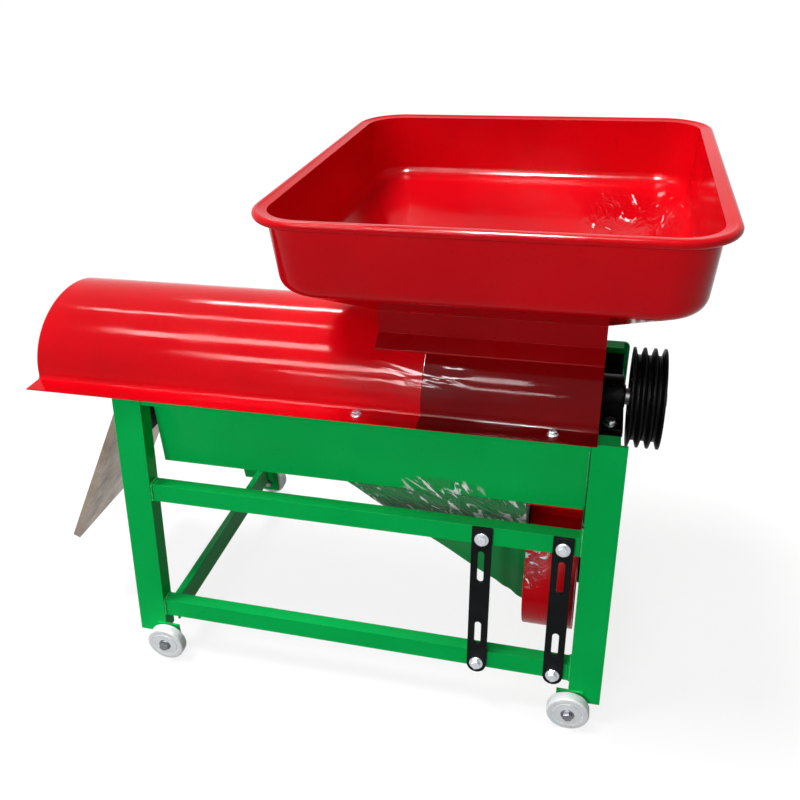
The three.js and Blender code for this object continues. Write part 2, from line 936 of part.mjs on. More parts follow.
function fanCasing() {
  const top = panelFoot - seat;
  const neckTop = top - neckFlange;
  const flange = box(fanLeft, fanRight - fanSheet - seat, panelInset, frameWidth - panelInset, neckTop, top);
  const shell = fanOutline(0, neckTop + neckFlange / 2, fanLeft, fanRight - fanSheet - seat);
  const inside = fanOutline(fanSheet, neckTop, fanLeft + fanSheet, fanRight + overrun);
  return cut(join(shell, flange), inside, fanPort());
}

function fanSideCover() {
  const x0 = fanRight - fanSheet;
  const plate = fanOutline(0, panelFoot - seat - neckFlange - seat, x0, fanRight);
  const inlet = rod('x', inletRadius, x0 - overrun, fanRight + overrun, drumSides);
  const bridge = box(
    x0 - 2 * overrun, fanRight + 2 * overrun,
    -fanRadius, fanRadius,
    -inletBridge / 2, inletBridge / 2,
  );
  const openings = cut(inlet, bridge).translate(0, fanAxisY, fanAxisZ);
  const bore = rod('x', fanShaftRadius + running, x0 - overrun, fanRight + overrun);
  return cut(plate, openings, bore.translate(0, fanAxisY, fanAxisZ));
}

function fanBearing() {
  const x0 = fanRight + seat;
  const plate = new THREE.Shape();
  const end = fanBearingHeight / 2;
  const reach = fanBearingLength / 2 - end;
  plate.absarc(reach, 0, end, -Math.PI / 2, Math.PI / 2, false);
  plate.absarc(-reach, 0, end, Math.PI / 2, 3 * Math.PI / 2, false);
  const boss = rod('x', insertRadius - shaftStubLength / 2, x0, x0 + fanBearingBoss);
  const bore = rod('x', fanShaftRadius + seat, x0 - overrun, x0 + fanBearingBoss + overrun);
  return cut(join(plateX(plate, x0, x0 + fanBearingPlate), boss), bore).translate(0, fanAxisY, fanAxisZ);
}

function addFanCase(body) {
  addPart(body, 'fan_casing', fanCasing(), redPaint);
  addPart(body, 'fan_side_cover', fanSideCover(), redPaint);
  addPart(body, 'fan_bearing', fanBearing(), blackPaint);
}

function impeller(x0) {
  const x1 = x0 + impellerDisc;
  const pieces = [
    rod('x', impellerRadius, x0, x1, drumSides),
    rod('x', impellerHub, x0, x1 + bladeWidth / 2),
  ];
  for (let i = 0; i < blades; i += 1) {
    const blade = box(
      x1 - impellerDisc / 2, x1 + bladeWidth,
      -bladeThickness / 2, bladeThickness / 2,
      impellerHub - impellerDisc / 2, impellerRadius - impellerDisc / 2,
    );
    pieces.push(blade.rotateX(i * 2 * Math.PI / blades));
  }
  const bore = rod('x', fanShaftRadius + seat, x0 - overrun, x1 + bladeWidth);
  return cut(join(...pieces), bore);
}

function addFanRotor(body) {
  const rotor = new THREE.Group();
  rotor.position.set(0, fanAxisY, fanAxisZ);
  body.add(rotor);
  const start = fanLeft + fanSheet + impellerGap / 2;
  const end = fanRight + seat + fanBearingBoss + fanShaftStub;
  addPart(rotor, 'fan_shaft', rod('x', fanShaftRadius, start, end), bareSteel);
  addPart(rotor, 'fan_impeller', impeller(fanLeft + fanSheet + impellerGap), galvanised);
}

// Cob chute: a steep plate with folded sides, hooked on the beam at the cob end

function cobChute() {
  const foot = [-cobChuteReach, cobChuteFoot];
  const head = [frameLeft - cobChuteGap, frameHeight - cobChuteDrop];
  const length = Math.hypot(head[0] - foot[0], head[1] - foot[1]);
  const slope = [(head[0] - foot[0]) / length, (head[1] - foot[1]) / length];
  const under = [slope[1] * cobChuteSheet, -slope[0] * cobChuteSheet];
  const fold = [-slope[1] * cobChuteFold, slope[0] * cobChuteFold];
  const tabX = leftBeamX - seat;
  const plate = outline([
    foot,
    [foot[0] + under[0], foot[1] + under[1]],
    [head[0] + under[0], head[1] + under[1]],
    [tabX - cobChuteSheet, head[1] + under[1]],
    [tabX - cobChuteSheet, head[1] - cobChuteTab],
    [tabX, head[1] - cobChuteTab],
    [tabX, head[1]],
    head,
  ]);
  const side = outline([
    [foot[0] + under[0], foot[1] + under[1]],
    [head[0] + under[0], head[1] + under[1]],
    [head[0] + fold[0], head[1] + fold[1]],
    [foot[0] + fold[0], foot[1] + fold[1]],
  ]);
  const cobChuteRear = frameWidth - cobChuteRearMargin;
  return join(
    plateY(plate, cobChuteFront, cobChuteRear),
    plateY(side, cobChuteFront, cobChuteFront + cobChuteSheet),
    plateY(side, cobChuteRear - cobChuteSheet, cobChuteRear),
  );
}

function addChutes(body) {
  addPart(body, 'grain_chute', grainChute(), greenPaint);
  addPart(body, 'cob_chute', cobChute(), galvanised);
}

// Drum bearing housings on the end beams

function bearingHousing() {
  const foot = beamTop + seat - drumAxisZ;
  const body = join(
    box(
      -housingWidth / 2, housingWidth / 2,
      -housingLength / 2, housingLength / 2,
      foot, foot + housingFoot,
    ),
    rod('x', housingRadius, -housingBodyWidth / 2, housingBodyWidth / 2, drumSides),
    rod('x', insertRadius, -housingWidth / 2, housingWidth / 2),
  );
  const bolt = rod('z', bearingBolt.shank + seat, foot - overrun, foot + housingFoot + overrun, pinSides);
  const below = box(-housingWidth, housingWidth, -housingLength, housingLength, foot - housingRadius, foot);
  return cut(
    body,
    below,
    rod('x', shaftRadius + seat, -housingWidth, housingWidth),
    bolt.clone().translate(0, -housingBoltOffset, 0),
    bolt.clone().translate(0, housingBoltOffset, 0),
  );
}

function addBearings(body) {
  const sides = [['left', leftBeamX], ['right', rightBeamX]];
  sides.forEach(([side, beamX]) => {
    const x = beamX + beamWidth / 2;
    const housing = addPart(body, `pillow_block_${side}`, bearingHousing(), blackPaint);
    housing.position.set(x, midY, drumAxisZ);
    [['front', -1], ['rear', 1]].forEach(([end, sign]) => {
      const place = new THREE.Vector3(x, midY + sign * housingBoltOffset, beamTop + seat + housingFoot);
      const grip = housingFoot + seat + beamWall;
      addBolt(body, `bearing_bolt_${side}_${end}`, bearingBolt, grip, place, axisZ);
    });
  });
}

// Drum: shaft, barrel with holed end discs, beater bars with studs, and the belt pulley

const barrelLeft = sieveLeft + barrelLeftGap;
const barrelRight = endPlateLeft - barrelRightGap;

function drumBarrel() {
  const tube = cut(
    rod('x', barrelRadius, barrelLeft, barrelRight, drumSides),
    rod('x', barrelRadius - barrelWall, barrelLeft + discThickness, barrelRight - discThickness, drumSides),
  );
  const tools = [rod('x', shaftRadius + seat, barrelLeft - overrun, barrelRight + overrun)];
  const web = barrelRadius - barrelWall - shaftRadius;
  const holeCircle = shaftRadius + web / 2;
  for (let i = 0; i < discHoles; i += 1) {
    const tool = rod('x', web * discHoleShare, barrelLeft - overrun, barrelRight + overrun, pinSides);
    tools.push(tool.translate(0, holeCircle, 0).rotateX(i * 2 * Math.PI / discHoles));
  }
  return cut(tube, ...tools);
}

function beaterBar(offset) {
  const foot = barrelRadius + seat;
  const top = foot + beaterBarHeight;
  const x0 = barrelLeft + beaterEndGap;
  const pieces = [box(
    x0, barrelRight - beaterEndGap,
    -beaterBarWidth / 2, beaterBarWidth / 2,
    foot, top,
  )];
  const studs = Math.floor((barrelRight - barrelLeft) / studPitch);
  for (let i = 0; i < studs; i += 1) {
    const stud = rod('z', studRadius, top - beaterBarHeight / 2, studReach, studSides);
    pieces.push(stud.translate(x0 + (i + offset) * studPitch, 0, 0));
  }
  return join(...pieces);
}

function pulley() {
  const groove = (start) => [
    [pulleyRadius, start],
    [pulleyRadius - grooveDepth, start + (pulleyPitch - rimLand - grooveFloor) / 2],
    [pulleyRadius - grooveDepth, start + (pulleyPitch - rimLand + grooveFloor) / 2],
    [pulleyRadius, start + pulleyPitch - rimLand],
  ];
  const bore = shaftRadius + seat;
  const points = [
    [bore, 0], [hubRadius, 0], [hubRadius, webRecess], [webRadius - webSlope, webRecess],
    [webRadius, 0], [pulleyRadius, 0],
  ];
  for (let i = 0; i < pulleyRims - 1; i += 1) {
    points.push(...groove(i * pulleyPitch + rimLand));
  }
  points.push(
    [pulleyRadius, pulleyWidth], [webRadius, pulleyWidth], [webRadius - webSlope, pulleyWidth - webRecess],
    [hubRadius, pulleyWidth - webRecess], [hubRadius, pulleyWidth], [bore, pulleyWidth], [bore, 0],
  );
  return turned(points, wheelSides).applyMatrix4(along.x).translate(pulleyStart, 0, 0);
}

// A turned piece, from points of radius and height along Y
function turned(points, sides) {
  return welded(new THREE.LatheGeometry(points.map(([r, h]) => new THREE.Vector2(r, h)), sides));
}

function addDrum(body) {
  const drum = new THREE.Group();
  drum.position.set(0, midY, drumAxisZ);
  body.add(drum);
  const leftEnd = leftBeamX + (beamWidth - housingWidth) / 2 - shaftStubLength;
  const rightEnd = pulleyStart + pulleyWidth + shaftNose;
  addPart(drum, 'drum_shaft', rod('x', shaftRadius, leftEnd, rightEnd), bareSteel);
  addPart(drum, 'drum_barrel', drumBarrel(), bareSteel);
  addPart(drum, 'drum_pulley', pulley(), blackPaint);
  for (let i = 0; i < beaterBars; i += 1) {
    const offset = i % 2 === 0 ? 1 : 1 / 2;
    const bar = addPart(drum, `beater_bar_${i + 1}`, beaterBar(offset), bareSteel);
    bar.rotation.x = i * 2 * Math.PI / beaterBars;
  }
}

// Slotted bars bolted to the front of the rails

function slottedBar(left, middle) {
  const radius = barWidth / 2;
  const shape = new THREE.Shape();
  shape.moveTo(left + barWidth, midRailTop);
  shape.lineTo(left, midRailTop);
  shape.absarc(middle, barFoot + radius, radius, Math.PI, 2 * Math.PI, false);
  [upperSlotShares, lowerSlotShares].forEach((shares) => {
    const [bottom, top] = shares.map((share) => THREE.MathUtils.lerp(barFoot, midRailTop, share));
    slotHole(shape, middle, bottom, top, barSlotWidth);
  });
  const face = railRecess - seat;
  const bar = plateY(shape, face - barThickness, face).applyMatrix4(splay);
  return cut(bar, barBoltHole(middle, barUpperBolt), barBoltHole(middle, barLowerBolt));
}

function addSlottedBars(body) {
  const bars = [['left', leftBarX, leftBarMid], ['right', rightBarX, rightBarMid]];
  bars.forEach(([side, left, middle]) => {
    addPart(body, `slotted_bar_${side}`, slottedBar(left, middle), blackPaint);
    [['upper', barUpperBolt], ['lower', barLowerBolt]].forEach(([end, z]) => {
      const grip = barThickness + seat + railWall;
      addBolt(body, `bar_bolt_${side}_${end}`, barBolt, grip, barBoltPlace(middle, z), leanNormal);
    });
  });
}

function addCoverBolts(body) {
  const grip = coverSheet + seat + railWall;
  const z = coverBase + coverSheet;
  [['hood', hoodBoltX], ['feed', feedBoltX]].forEach(([name, x]) => {
    const front = new THREE.Vector3(x, coverBoltInset, z);
    const rear = new THREE.Vector3(x, frameWidth - coverBoltInset, z);
    addBolt(body, `cover_bolt_${name}_front`, coverBolt, grip, front, axisZ);
    addBolt(body, `cover_bolt_${name}_rear`, coverBolt, grip, rear, axisZ);
  });
}

// Wheels on axle bolts through the plates at the feet

function wheel() {
  const bore = axleBolt.shank + running;
  const grooveOuter = wheelGrooveRadius + wheelGrooveWidth;
  return turned([
    [bore, 0], [wheelRadius - wheelEdge, 0], [wheelRadius, wheelEdge],
    [wheelRadius, wheelWidth - wheelEdge], [wheelRadius - wheelEdge, wheelWidth],
    [grooveOuter, wheelWidth], [grooveOuter, wheelWidth - wheelGrooveDepth],
    [wheelGrooveRadius, wheelWidth - wheelGrooveDepth], [wheelGrooveRadius, wheelWidth],
    [bore, wheelWidth], [bore, 0],
  ], wheelSides);
}

function addWheels(body) {
  const corners = [['left', leftWheelX], ['right', rightWheelX]];
  const outwards = { front: axisY.clone().negate(), rear: axisY };
  corners.forEach(([side, x]) => {
    ['front', 'rear'].forEach((end) => {
      const plateY0 = end === 'front' ? frontFace(0) : frameWidth - frontFace(0);
      const direction = outwards[end];
      const grip = wheelStandOff + wheelWidth + axlePlateThickness;
      const face = new THREE.Vector3(x, plateY0, -wheelDrop);
      const mesh = addPart(body, `wheel_${end}_${side}`, wheel(), whitePlastic);
      mesh.position.copy(face).addScaledVector(direction, wheelStandOff);
      mesh.quaternion.setFromUnitVectors(axisY, direction);
      const boltPlace = face.clone().addScaledVector(direction, wheelStandOff + wheelWidth);
      addBolt(body, `axle_bolt_${end}_${side}`, axleBolt, grip, boltPlace, direction);
    });
  });
}

addLegs(sheller);
addCrossRails(sheller);
addTopRails(sheller);
addSideRails(sheller);
addEndBeams(sheller);
addSidePanels(sheller);
addCovers(sheller);
addTrough(sheller);
addHopper(sheller);
addChutes(sheller);
addFanCase(sheller);
addFanRotor(sheller);
addBearings(sheller);
addDrum(sheller);
addSlottedBars(sheller);
addCoverBolts(sheller);
addWheels(sheller);

// Origin on the floor under the middle of the whole machine
sheller.updateMatrixWorld(true);
const bounds = new THREE.Box3().setFromObject(sheller, true);
const middle = bounds.getCenter(new THREE.Vector3());
sheller.position.set(-middle.x, -middle.y, -bounds.min.z);

export default sheller;
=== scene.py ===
import json
import math

import bmesh
import bpy
from mathutils import Matrix, Vector, noise

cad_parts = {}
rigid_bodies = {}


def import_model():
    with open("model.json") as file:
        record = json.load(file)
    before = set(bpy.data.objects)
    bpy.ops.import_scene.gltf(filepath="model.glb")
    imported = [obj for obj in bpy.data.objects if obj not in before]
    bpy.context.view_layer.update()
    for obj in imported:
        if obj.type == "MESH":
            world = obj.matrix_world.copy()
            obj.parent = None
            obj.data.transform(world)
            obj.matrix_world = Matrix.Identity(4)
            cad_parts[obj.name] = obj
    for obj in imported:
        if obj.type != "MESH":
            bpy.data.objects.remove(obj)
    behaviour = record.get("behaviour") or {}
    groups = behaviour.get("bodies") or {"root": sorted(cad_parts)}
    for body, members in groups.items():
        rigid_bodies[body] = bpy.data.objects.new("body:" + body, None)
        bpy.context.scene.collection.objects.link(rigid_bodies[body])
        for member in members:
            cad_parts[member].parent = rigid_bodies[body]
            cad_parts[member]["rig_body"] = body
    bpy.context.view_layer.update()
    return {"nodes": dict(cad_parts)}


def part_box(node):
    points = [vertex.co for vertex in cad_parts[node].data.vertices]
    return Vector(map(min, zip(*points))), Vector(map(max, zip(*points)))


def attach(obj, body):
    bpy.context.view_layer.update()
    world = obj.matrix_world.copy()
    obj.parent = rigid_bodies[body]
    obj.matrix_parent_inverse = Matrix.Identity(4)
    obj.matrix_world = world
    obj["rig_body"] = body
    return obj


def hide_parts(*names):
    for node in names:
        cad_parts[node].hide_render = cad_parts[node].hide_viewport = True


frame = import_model()
nodes = frame["nodes"]

# Shared modelling values, in metres and degrees
MERGE_REACH = 1e-5
FLAT_ANGLE = math.radians(1)
SHARP_ANGLE = math.radians(35)
SHEET_EASE = 0.0005
FLAT_WEIGHT = 75
FINE_EASE = 0.0003
THIN_EASE = 0.0004
SMALL_EASE = 0.0008
ROD_EASE = 0.001
BAR_EASE = 0.0012
CAST_EASE = 0.002
BORE_GAP = 0.0003

# Photo's viewpoint
CAMERA_PLACE = (0.37137, -1.20547, 1.08860)
CAMERA_YAW = 15.06
CAMERA_TILT = 59.69
CAMERA_ROLL = -2.34
CAMERA_LENS = 37.27
CAMERA_SENSOR = 36

# How far the frame's front faces lean for each metre of height
LEAN = 0.161

axis_x = Vector((1, 0, 0))
axis_y = Vector((0, 1, 0))
axis_z = Vector((0, 0, 1))


# Materials


def linear(rgb):
    """Linear colour with alpha, from sRGB values of 0 to 255."""
    def channel(value):
        share = value / 255
        return share / 12.92 if share <= 0.04045 else ((share + 0.055) / 1.055) ** 2.4
    return tuple(channel(value) for value in rgb) + (1.0,)


class Shading:
    """A material's node tree, built with short calls."""

    def __init__(self, name):
        self.material = bpy.data.materials.new(name)
        self.material.use_nodes = True
        self.tree = self.material.node_tree
        self.shader = self.tree.nodes["Principled BSDF"]
        self.place = self.add("ShaderNodeTexCoord").outputs["Object"]

    def add(self, kind, **settings):
        node = self.tree.nodes.new(kind)
        for key, value in settings.items():
            setattr(node, key, value)
        return node

    def put(self, socket, value):
        if isinstance(value, bpy.types.NodeSocket):
            self.tree.links.new(value, socket)
        else:
            socket.default_value = value

    def scaled(self, scale, turn=0.0):
        """The place stretched along each axis, after a turn about the y axis."""
        turned_place = self.add("ShaderNodeMapping", vector_type="POINT")
        self.put(turned_place.inputs["Vector"], self.place)
        turned_place.inputs["Rotation"].default_value = (0.0, turn, 0.0)
        node = self.add("ShaderNodeMapping")
        self.put(node.inputs["Vector"], turned_place.outputs["Vector"])
        node.inputs["Scale"].default_value = scale
        return node.outputs["Vector"]

    def noise(self, scale, detail=3.0, vector=None, distortion=0.0):
        node = self.add("ShaderNodeTexNoise")
        self.put(node.inputs["Vector"], vector or self.place)
        self.put(node.inputs["Scale"], scale)
        self.put(node.inputs["Detail"], detail)
        self.put(node.inputs["Distortion"], distortion)
        return node.outputs["Fac"]

    def cells(self, scale, feature="F1"):
        node = self.add("ShaderNodeTexVoronoi", feature=feature)
        self.put(node.inputs["Vector"], self.place)
        self.put(node.inputs["Scale"], scale)
        return node

    def spread(self, value, low, high, start=0.3, end=0.7):
        node = self.add("ShaderNodeMapRange")
        self.put(node.inputs["Value"], value)
        self.put(node.inputs["From Min"], start)
        self.put(node.inputs["From Max"], end)
        self.put(node.inputs["To Min"], low)
        self.put(node.inputs["To Max"], high)
        return node.outputs["Result"]

    def sum(self, operation, first, second):
        node = self.add("ShaderNodeMath", operation=operation)
        self.put(node.inputs[0], first)
        self.put(node.inputs[1], second)
        return node.outputs[0]

    def mix(self, share, first, second, blend="MIX"):
        node = self.add("ShaderNodeMix", data_type="RGBA", blend_type=blend)
        self.put(node.inputs["Factor"], share)
        self.put(node.inputs["A"], first)
        self.put(node.inputs["B"], second)
        return node.outputs["Result"]

    def level(self, share, first, second):
        """A plain value that goes from the first to the second."""
        node = self.add("ShaderNodeMix", data_type="FLOAT")
        self.put(node.inputs["Factor"], share)
        self.put(node.inputs["A"], first)
        self.put(node.inputs["B"], second)
        return node.outputs["Result"]

    def bump(self, height, distance, strength=1.0, normal=None):
        node = self.add("ShaderNodeBump")
        self.put(node.inputs["Height"], height)
        self.put(node.inputs["Distance"], distance)
        self.put(node.inputs["Strength"], strength)
        if normal:
            self.put(node.inputs["Normal"], normal)
        return node.outputs["Normal"]

    def near(self, centre, reach, edge=0.35):
        """1 inside a rounded region about a centre, fading to 0 at its reach."""
        offset = self.add("ShaderNodeVectorMath", operation="SUBTRACT")
        self.put(offset.inputs[0], self.place)
        offset.inputs[1].default_value = centre
        share = self.add("ShaderNodeVectorMath", operation="DIVIDE")
        self.put(share.inputs[0], offset.outputs["Vector"])
        share.inputs[1].default_value = reach
        length = self.add("ShaderNodeVectorMath", operation="LENGTH")
        self.put(length.inputs[0], share.outputs["Vector"])
        return self.spread(length.outputs["Value"], 1.0, 0.0, 1 - edge, 1.0)

    def finish(self, colour, roughness, normal, **constants):
        inputs = self.shader.inputs
        self.put(inputs["Base Color"], colour)
        self.put(inputs["Roughness"], roughness)
        self.put(inputs["Normal"], normal)
        for name, value in constants.items():
            inputs[name.replace("_", " ")].default_value = value
        return self.material


# Sprayed paint: slow colour drift, dark specks, fine orange peel, long waves of the sheet;
# each noise as scale and detail, each range as its start and end
DRIFT_NOISE = (5.0, 4.0)
SPECK_NOISE = (260.0, 2.0)
SPECK_RANGE = (0.66, 0.74)
SPECK_SHARE = 0.35
SPECK_TONE = 0.72
GLOSS_NOISE = (14.0, 5.0)
GLOSS_BELOW = 0.05
GLOSS_ABOVE = 0.07
PEEL_SCALE = 420
PEEL_HEIGHT = 0.00002
WAVE_SCALE = 9
WAVE_HEIGHT = 0.0012
PAINT_SPECULAR = 0.07
GREEN_SPECULAR = 0.04
FILM_SPECULAR = 0.16
FILM_GLOSS = 0.07
BLACK_SPECULAR = 0.06

# Clear film: scale, height, stretch and turn of its folds, how far painted shade darkens the paint, and
# the fold height above which a painted white glint shows on a crease
CHUTE_CRINKLE = (42.0, 0.01, (0.55, 1.0, 1.4), -0.8, 0.3, 0.56)
FAN_CRINKLE = (60.0, 0.01, (0.8, 1.0, 1.2), -0.4, 0.15, 0.56)
PAN_CRINKLE = (30.0, 0.0035, (1.1, 0.5, 1.0), 0.5, 0.1, 0.645)
SEAM_CRINKLE = (13.0, 0.005, (0.3, 1.0, 1.0), 0.0, 0.0, 0.9)
FOLD_DETAIL = 3.0
FOLD_DISTORTION = 1.2
# Painted shade under the film, as a share of the darker shade
PAINTED_FILM_SHADE_TONE = 0.4
PAINTED_GLINT_RAMP = 0.05
# White of the painted glints on the film's creases
PAINTED_GLINT_WHITE = (255, 255, 255)


def paint(
    name, colour, shade, gloss, wave=1.0, film=(), crinkle=CHUTE_CRINKLE, shine=PAINT_SPECULAR,
):
    """Gloss paint; each film is a place and reach where clear film wrinkles over it, with painted shade
    under it and painted white glints on its creases.
    """
    s = Shading(name)
    drift = s.spread(s.noise(*DRIFT_NOISE), 0.0, 1.0)
    base = s.mix(drift, linear(colour), linear(shade))
    specks = s.spread(s.noise(*SPECK_NOISE), 0.0, SPECK_SHARE, *SPECK_RANGE)
    base = s.mix(specks, base, linear([value * SPECK_TONE for value in shade]))
    rough = s.spread(s.noise(*GLOSS_NOISE), gloss - GLOSS_BELOW, gloss + GLOSS_ABOVE)
    waves = s.bump(s.noise(WAVE_SCALE, 1.0), WAVE_HEIGHT * wave)
    normal = s.bump(s.noise(PEEL_SCALE, 1.0), PEEL_HEIGHT, normal=waves)
    if film:
        region = None
        for centre, reach in film:
            here = s.near(centre, reach)
            region = here if region is None else s.sum("MAXIMUM", region, here)
        scale, height, stretch, turn, painted_shade_share, glint_start = crinkle
        folds = s.noise(scale, FOLD_DETAIL, s.scaled(stretch, turn), FOLD_DISTORTION)
        # Painted white glints where the folds run high
        painted_glint = s.spread(folds, 0.0, 1.0, glint_start, glint_start + PAINTED_GLINT_RAMP)
        # Painted shade: the paint darkened under the film
        painted_film_shade = linear([value * PAINTED_FILM_SHADE_TONE for value in shade])
        base = s.mix(s.sum("MULTIPLY", region, painted_shade_share), base, painted_film_shade)
        base = s.mix(s.sum("MULTIPLY", region, painted_glint), base, linear(PAINTED_GLINT_WHITE))
        ridges = s.sum("ABSOLUTE", s.sum("SUBTRACT", folds, 0.5), 0.0)
        normal = s.bump(s.sum("MULTIPLY", ridges, region), height, normal=normal)
        rough = s.level(region, rough, FILM_GLOSS)
        shine = s.level(region, shine, FILM_SPECULAR)
    s.put(s.shader.inputs["Specular IOR Level"], shine)
    return s.finish(base, rough, normal)


# Plating, steel, cast surfaces and plastic: noises as scale and detail, ranges as start and
# end, and how far the roughness goes below and above its middle
CLOUD_NOISE = (18.0, 4.0)
PLATING_ROUGH = (0.08, 0.14)
PLATING_GRAIN = (300.0, 2.0)
PLATING_HEIGHT = 0.00006
BRUSH_NOISE = (60.0, 6.0)
BRUSH_STRETCH = (0.08, 1.0, 1.0)
BRUSH_ROUGH = (0.1, 0.12)
BRUSH_HEIGHT = 0.0001
RUST_NOISE = (24.0, 6.0)
RUST_RANGE = (0.56, 0.72)
RUST_SHARE = 0.6
RUST = (96, 66, 48)
STEEL_METALLIC = 0.9
CAST_CLOUD = (30.0, 5.0)
CAST_ROUGH_NOISE = (90.0, 4.0)
CAST_ROUGH = (0.1, 0.12)
CAST_GRAIN = (380.0, 4.0)
PLASTIC_CLOUD = (28.0, 4.0)
SCUFF_NOISE = (120.0, 5.0)
SCUFF_STRETCH = (1.0, 1.0, 0.4)
SCUFF_RANGE = (0.6, 0.72)
SCUFF_SHARE = 0.5
SCUFF_TONE = 0.8
PLASTIC_ROUGH_NOISE = (60.0, 3.0)
PLASTIC_ROUGH = (0.08, 0.1)
PLASTIC_GRAIN = (500.0, 2.0)
PLASTIC_HEIGHT = 0.00004
PLASTIC_SPECULAR = 0.4


def plated(name, colour, shade, roughness, flake_scale, flake_share):
    """Zinc or galvanised steel, with crystals that differ in tone."""
    s = Shading(name)
    flakes = s.cells(flake_scale)
    tone = s.sum("MULTIPLY", flakes.outputs["Color"], flake_share)
    cloud = s.sum("ADD", tone, s.spread(s.noise(*CLOUD_NOISE), 0.0, 1 - flake_share))
    base = s.mix(cloud, linear(colour), linear(shade))
    below, above = PLATING_ROUGH
    rough = s.spread(cloud, roughness - below, roughness + above, 0.0, 1.0)
    edges = s.cells(flake_scale).outputs["Distance"]
    normal = s.bump(s.sum("ADD", edges, s.noise(*PLATING_GRAIN)), PLATING_HEIGHT)
    return s.finish(base, rough, normal, Metallic=1.0)


def worn_steel(name, colour, shade, roughness):
    """Bare rolled steel with brushed grain and brown spots."""
    s = Shading(name)
    grain = s.noise(*BRUSH_NOISE, s.scaled(BRUSH_STRETCH))
    spots = s.spread(s.noise(*RUST_NOISE), 0.0, RUST_SHARE, *RUST_RANGE)
    base = s.mix(s.spread(grain, 0.0, 1.0), linear(colour), linear(shade))
    base = s.mix(spots, base, linear(RUST))
    below, above = BRUSH_ROUGH
    rough = s.spread(grain, roughness - below, roughness + above)
    normal = s.bump(grain, BRUSH_HEIGHT)
    return s.finish(base, rough, normal, Metallic=STEEL_METALLIC)


def cast_black(name, colour, shade, roughness, grain_height):
    """Black paint over a cast or rolled surface."""
    s = Shading(name)
    cloud = s.spread(s.noise(*CAST_CLOUD), 0.0, 1.0)
    base = s.mix(cloud, linear(colour), linear(shade))
    below, above = CAST_ROUGH
    rough = s.spread(s.noise(*CAST_ROUGH_NOISE), roughness - below, roughness + above)
    grain = s.noise(*CAST_GRAIN)
    normal = s.bump(grain, grain_height)
    return s.finish(base, rough, normal, Specular_IOR_Level=BLACK_SPECULAR)


def moulded(name, colour, shade, roughness):
    """Moulded plastic with slight clouds, dust and fine texture."""
    s = Shading(name)
    cloud = s.spread(s.noise(*PLASTIC_CLOUD), 0.0, 1.0)
    base = s.mix(cloud, linear(colour), linear(shade))
    scratches = s.noise(*SCUFF_NOISE, s.scaled(SCUFF_STRETCH))
    scuffs = s.spread(scratches, 0.0, SCUFF_SHARE, *SCUFF_RANGE)
    base = s.mix(scuffs, base, linear([value * SCUFF_TONE for value in shade]))
    below, above = PLASTIC_ROUGH
    rough = s.spread(s.noise(*PLASTIC_ROUGH_NOISE), roughness - below, roughness + above)
    normal = s.bump(s.noise(*PLASTIC_GRAIN), PLASTIC_HEIGHT)
    return s.finish(base, rough, normal, Specular_IOR_Level=PLASTIC_SPECULAR)


# Colours and their darker shades, as sRGB values of 0 to 255
GREEN = (5, 190, 88)
GREEN_SHADE = (2, 178, 80)
RED = (224, 4, 20)
RED_SHADE = (206, 3, 17)
DEEP_RED = (158, 4, 12)
DEEP_RED_SHADE = (140, 3, 9)
# Feed cover: the hood's red darkened as painted shade from the pan above, on top of the pan's rendered
# shadow
COVER_RED_PAINTED_SHADE = (136, 4, 10)
COVER_RED_DARKER_PAINTED_SHADE = (118, 3, 8)
# Chute: the frame's green darkened as painted shade where the chute sits back under the side panel
CHUTE_GREEN_PAINTED_SHADE = (3, 160, 76)
CHUTE_DARKER_PAINTED_SHADE = (0, 140, 64)
BLACK, BLACK_SHADE = (18, 20, 22), (10, 12, 13)
IRON, IRON_SHADE = (12, 12, 13), (5, 5, 6)
ZINC, ZINC_SHADE = (206, 208, 212), (160, 164, 170)
DULL_ZINC, DULL_ZINC_SHADE = (118, 120, 124), (82, 84, 88)
GALVANISED, GALVANISED_SHADE = (154, 142, 130), (116, 103, 92)
STEEL, STEEL_SHADE = (150, 150, 152), (104, 102, 100)
NYLON, NYLON_SHADE = (250, 252, 254), (240, 244, 248)
HUB, HUB_SHADE = (52, 54, 58), (34, 36, 40)

# Clear film: its middle from a corner of the piece, and its reach along each axis
SEAM_RISE, SEAM_DEPTH = 0.07, 0.06
CHUTE_FILM_SIDE, CHUTE_FILM_DROP = 0.15, 0.02
PANEL_FILM_RISE = 0.01
PAN_FILM_FROM_CORNER = Vector((-0.12, -0.19, -0.1))
FAN_FILM_FROM_CORNER = Vector((0.01, 0.03, 0.17))
FILM_REACH = {
    "seam": (0.08, 0.07, 0.055),
    "chute": (0.2, 0.3, 0.09),
    "panel": (0.07, 0.1, 0.02),
    "pan": (0.1, 0.16, 0.09),
    "fan": (0.03, 0.05, 0.045),
}


def film_regions():
    """Places where the clear wrapping film still clings, from the frame; these also mask the painted
    shade and painted white glints.
    """
    hood_low, hood_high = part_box("drum_hood")
    chute_low, chute_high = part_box("grain_chute")
    chute = Vector((chute_low.x + CHUTE_FILM_SIDE, chute_low.y, chute_high.z - CHUTE_FILM_DROP))
    middles = {
        "seam": Vector((hood_high.x, hood_low.y + SEAM_DEPTH, hood_low.z + SEAM_RISE)),
        "chute": chute,
        "panel": Vector((chute.x, chute.y, chute_high.z + PANEL_FILM_RISE)),
        "pan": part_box("hopper_pan")[1] + PAN_FILM_FROM_CORNER,
        "fan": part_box("fan_casing")[0] + FAN_FILM_FROM_CORNER,
    }
    return {name: [(middle, FILM_REACH[name])] for name, middle in middles.items()}


film = film_regions()
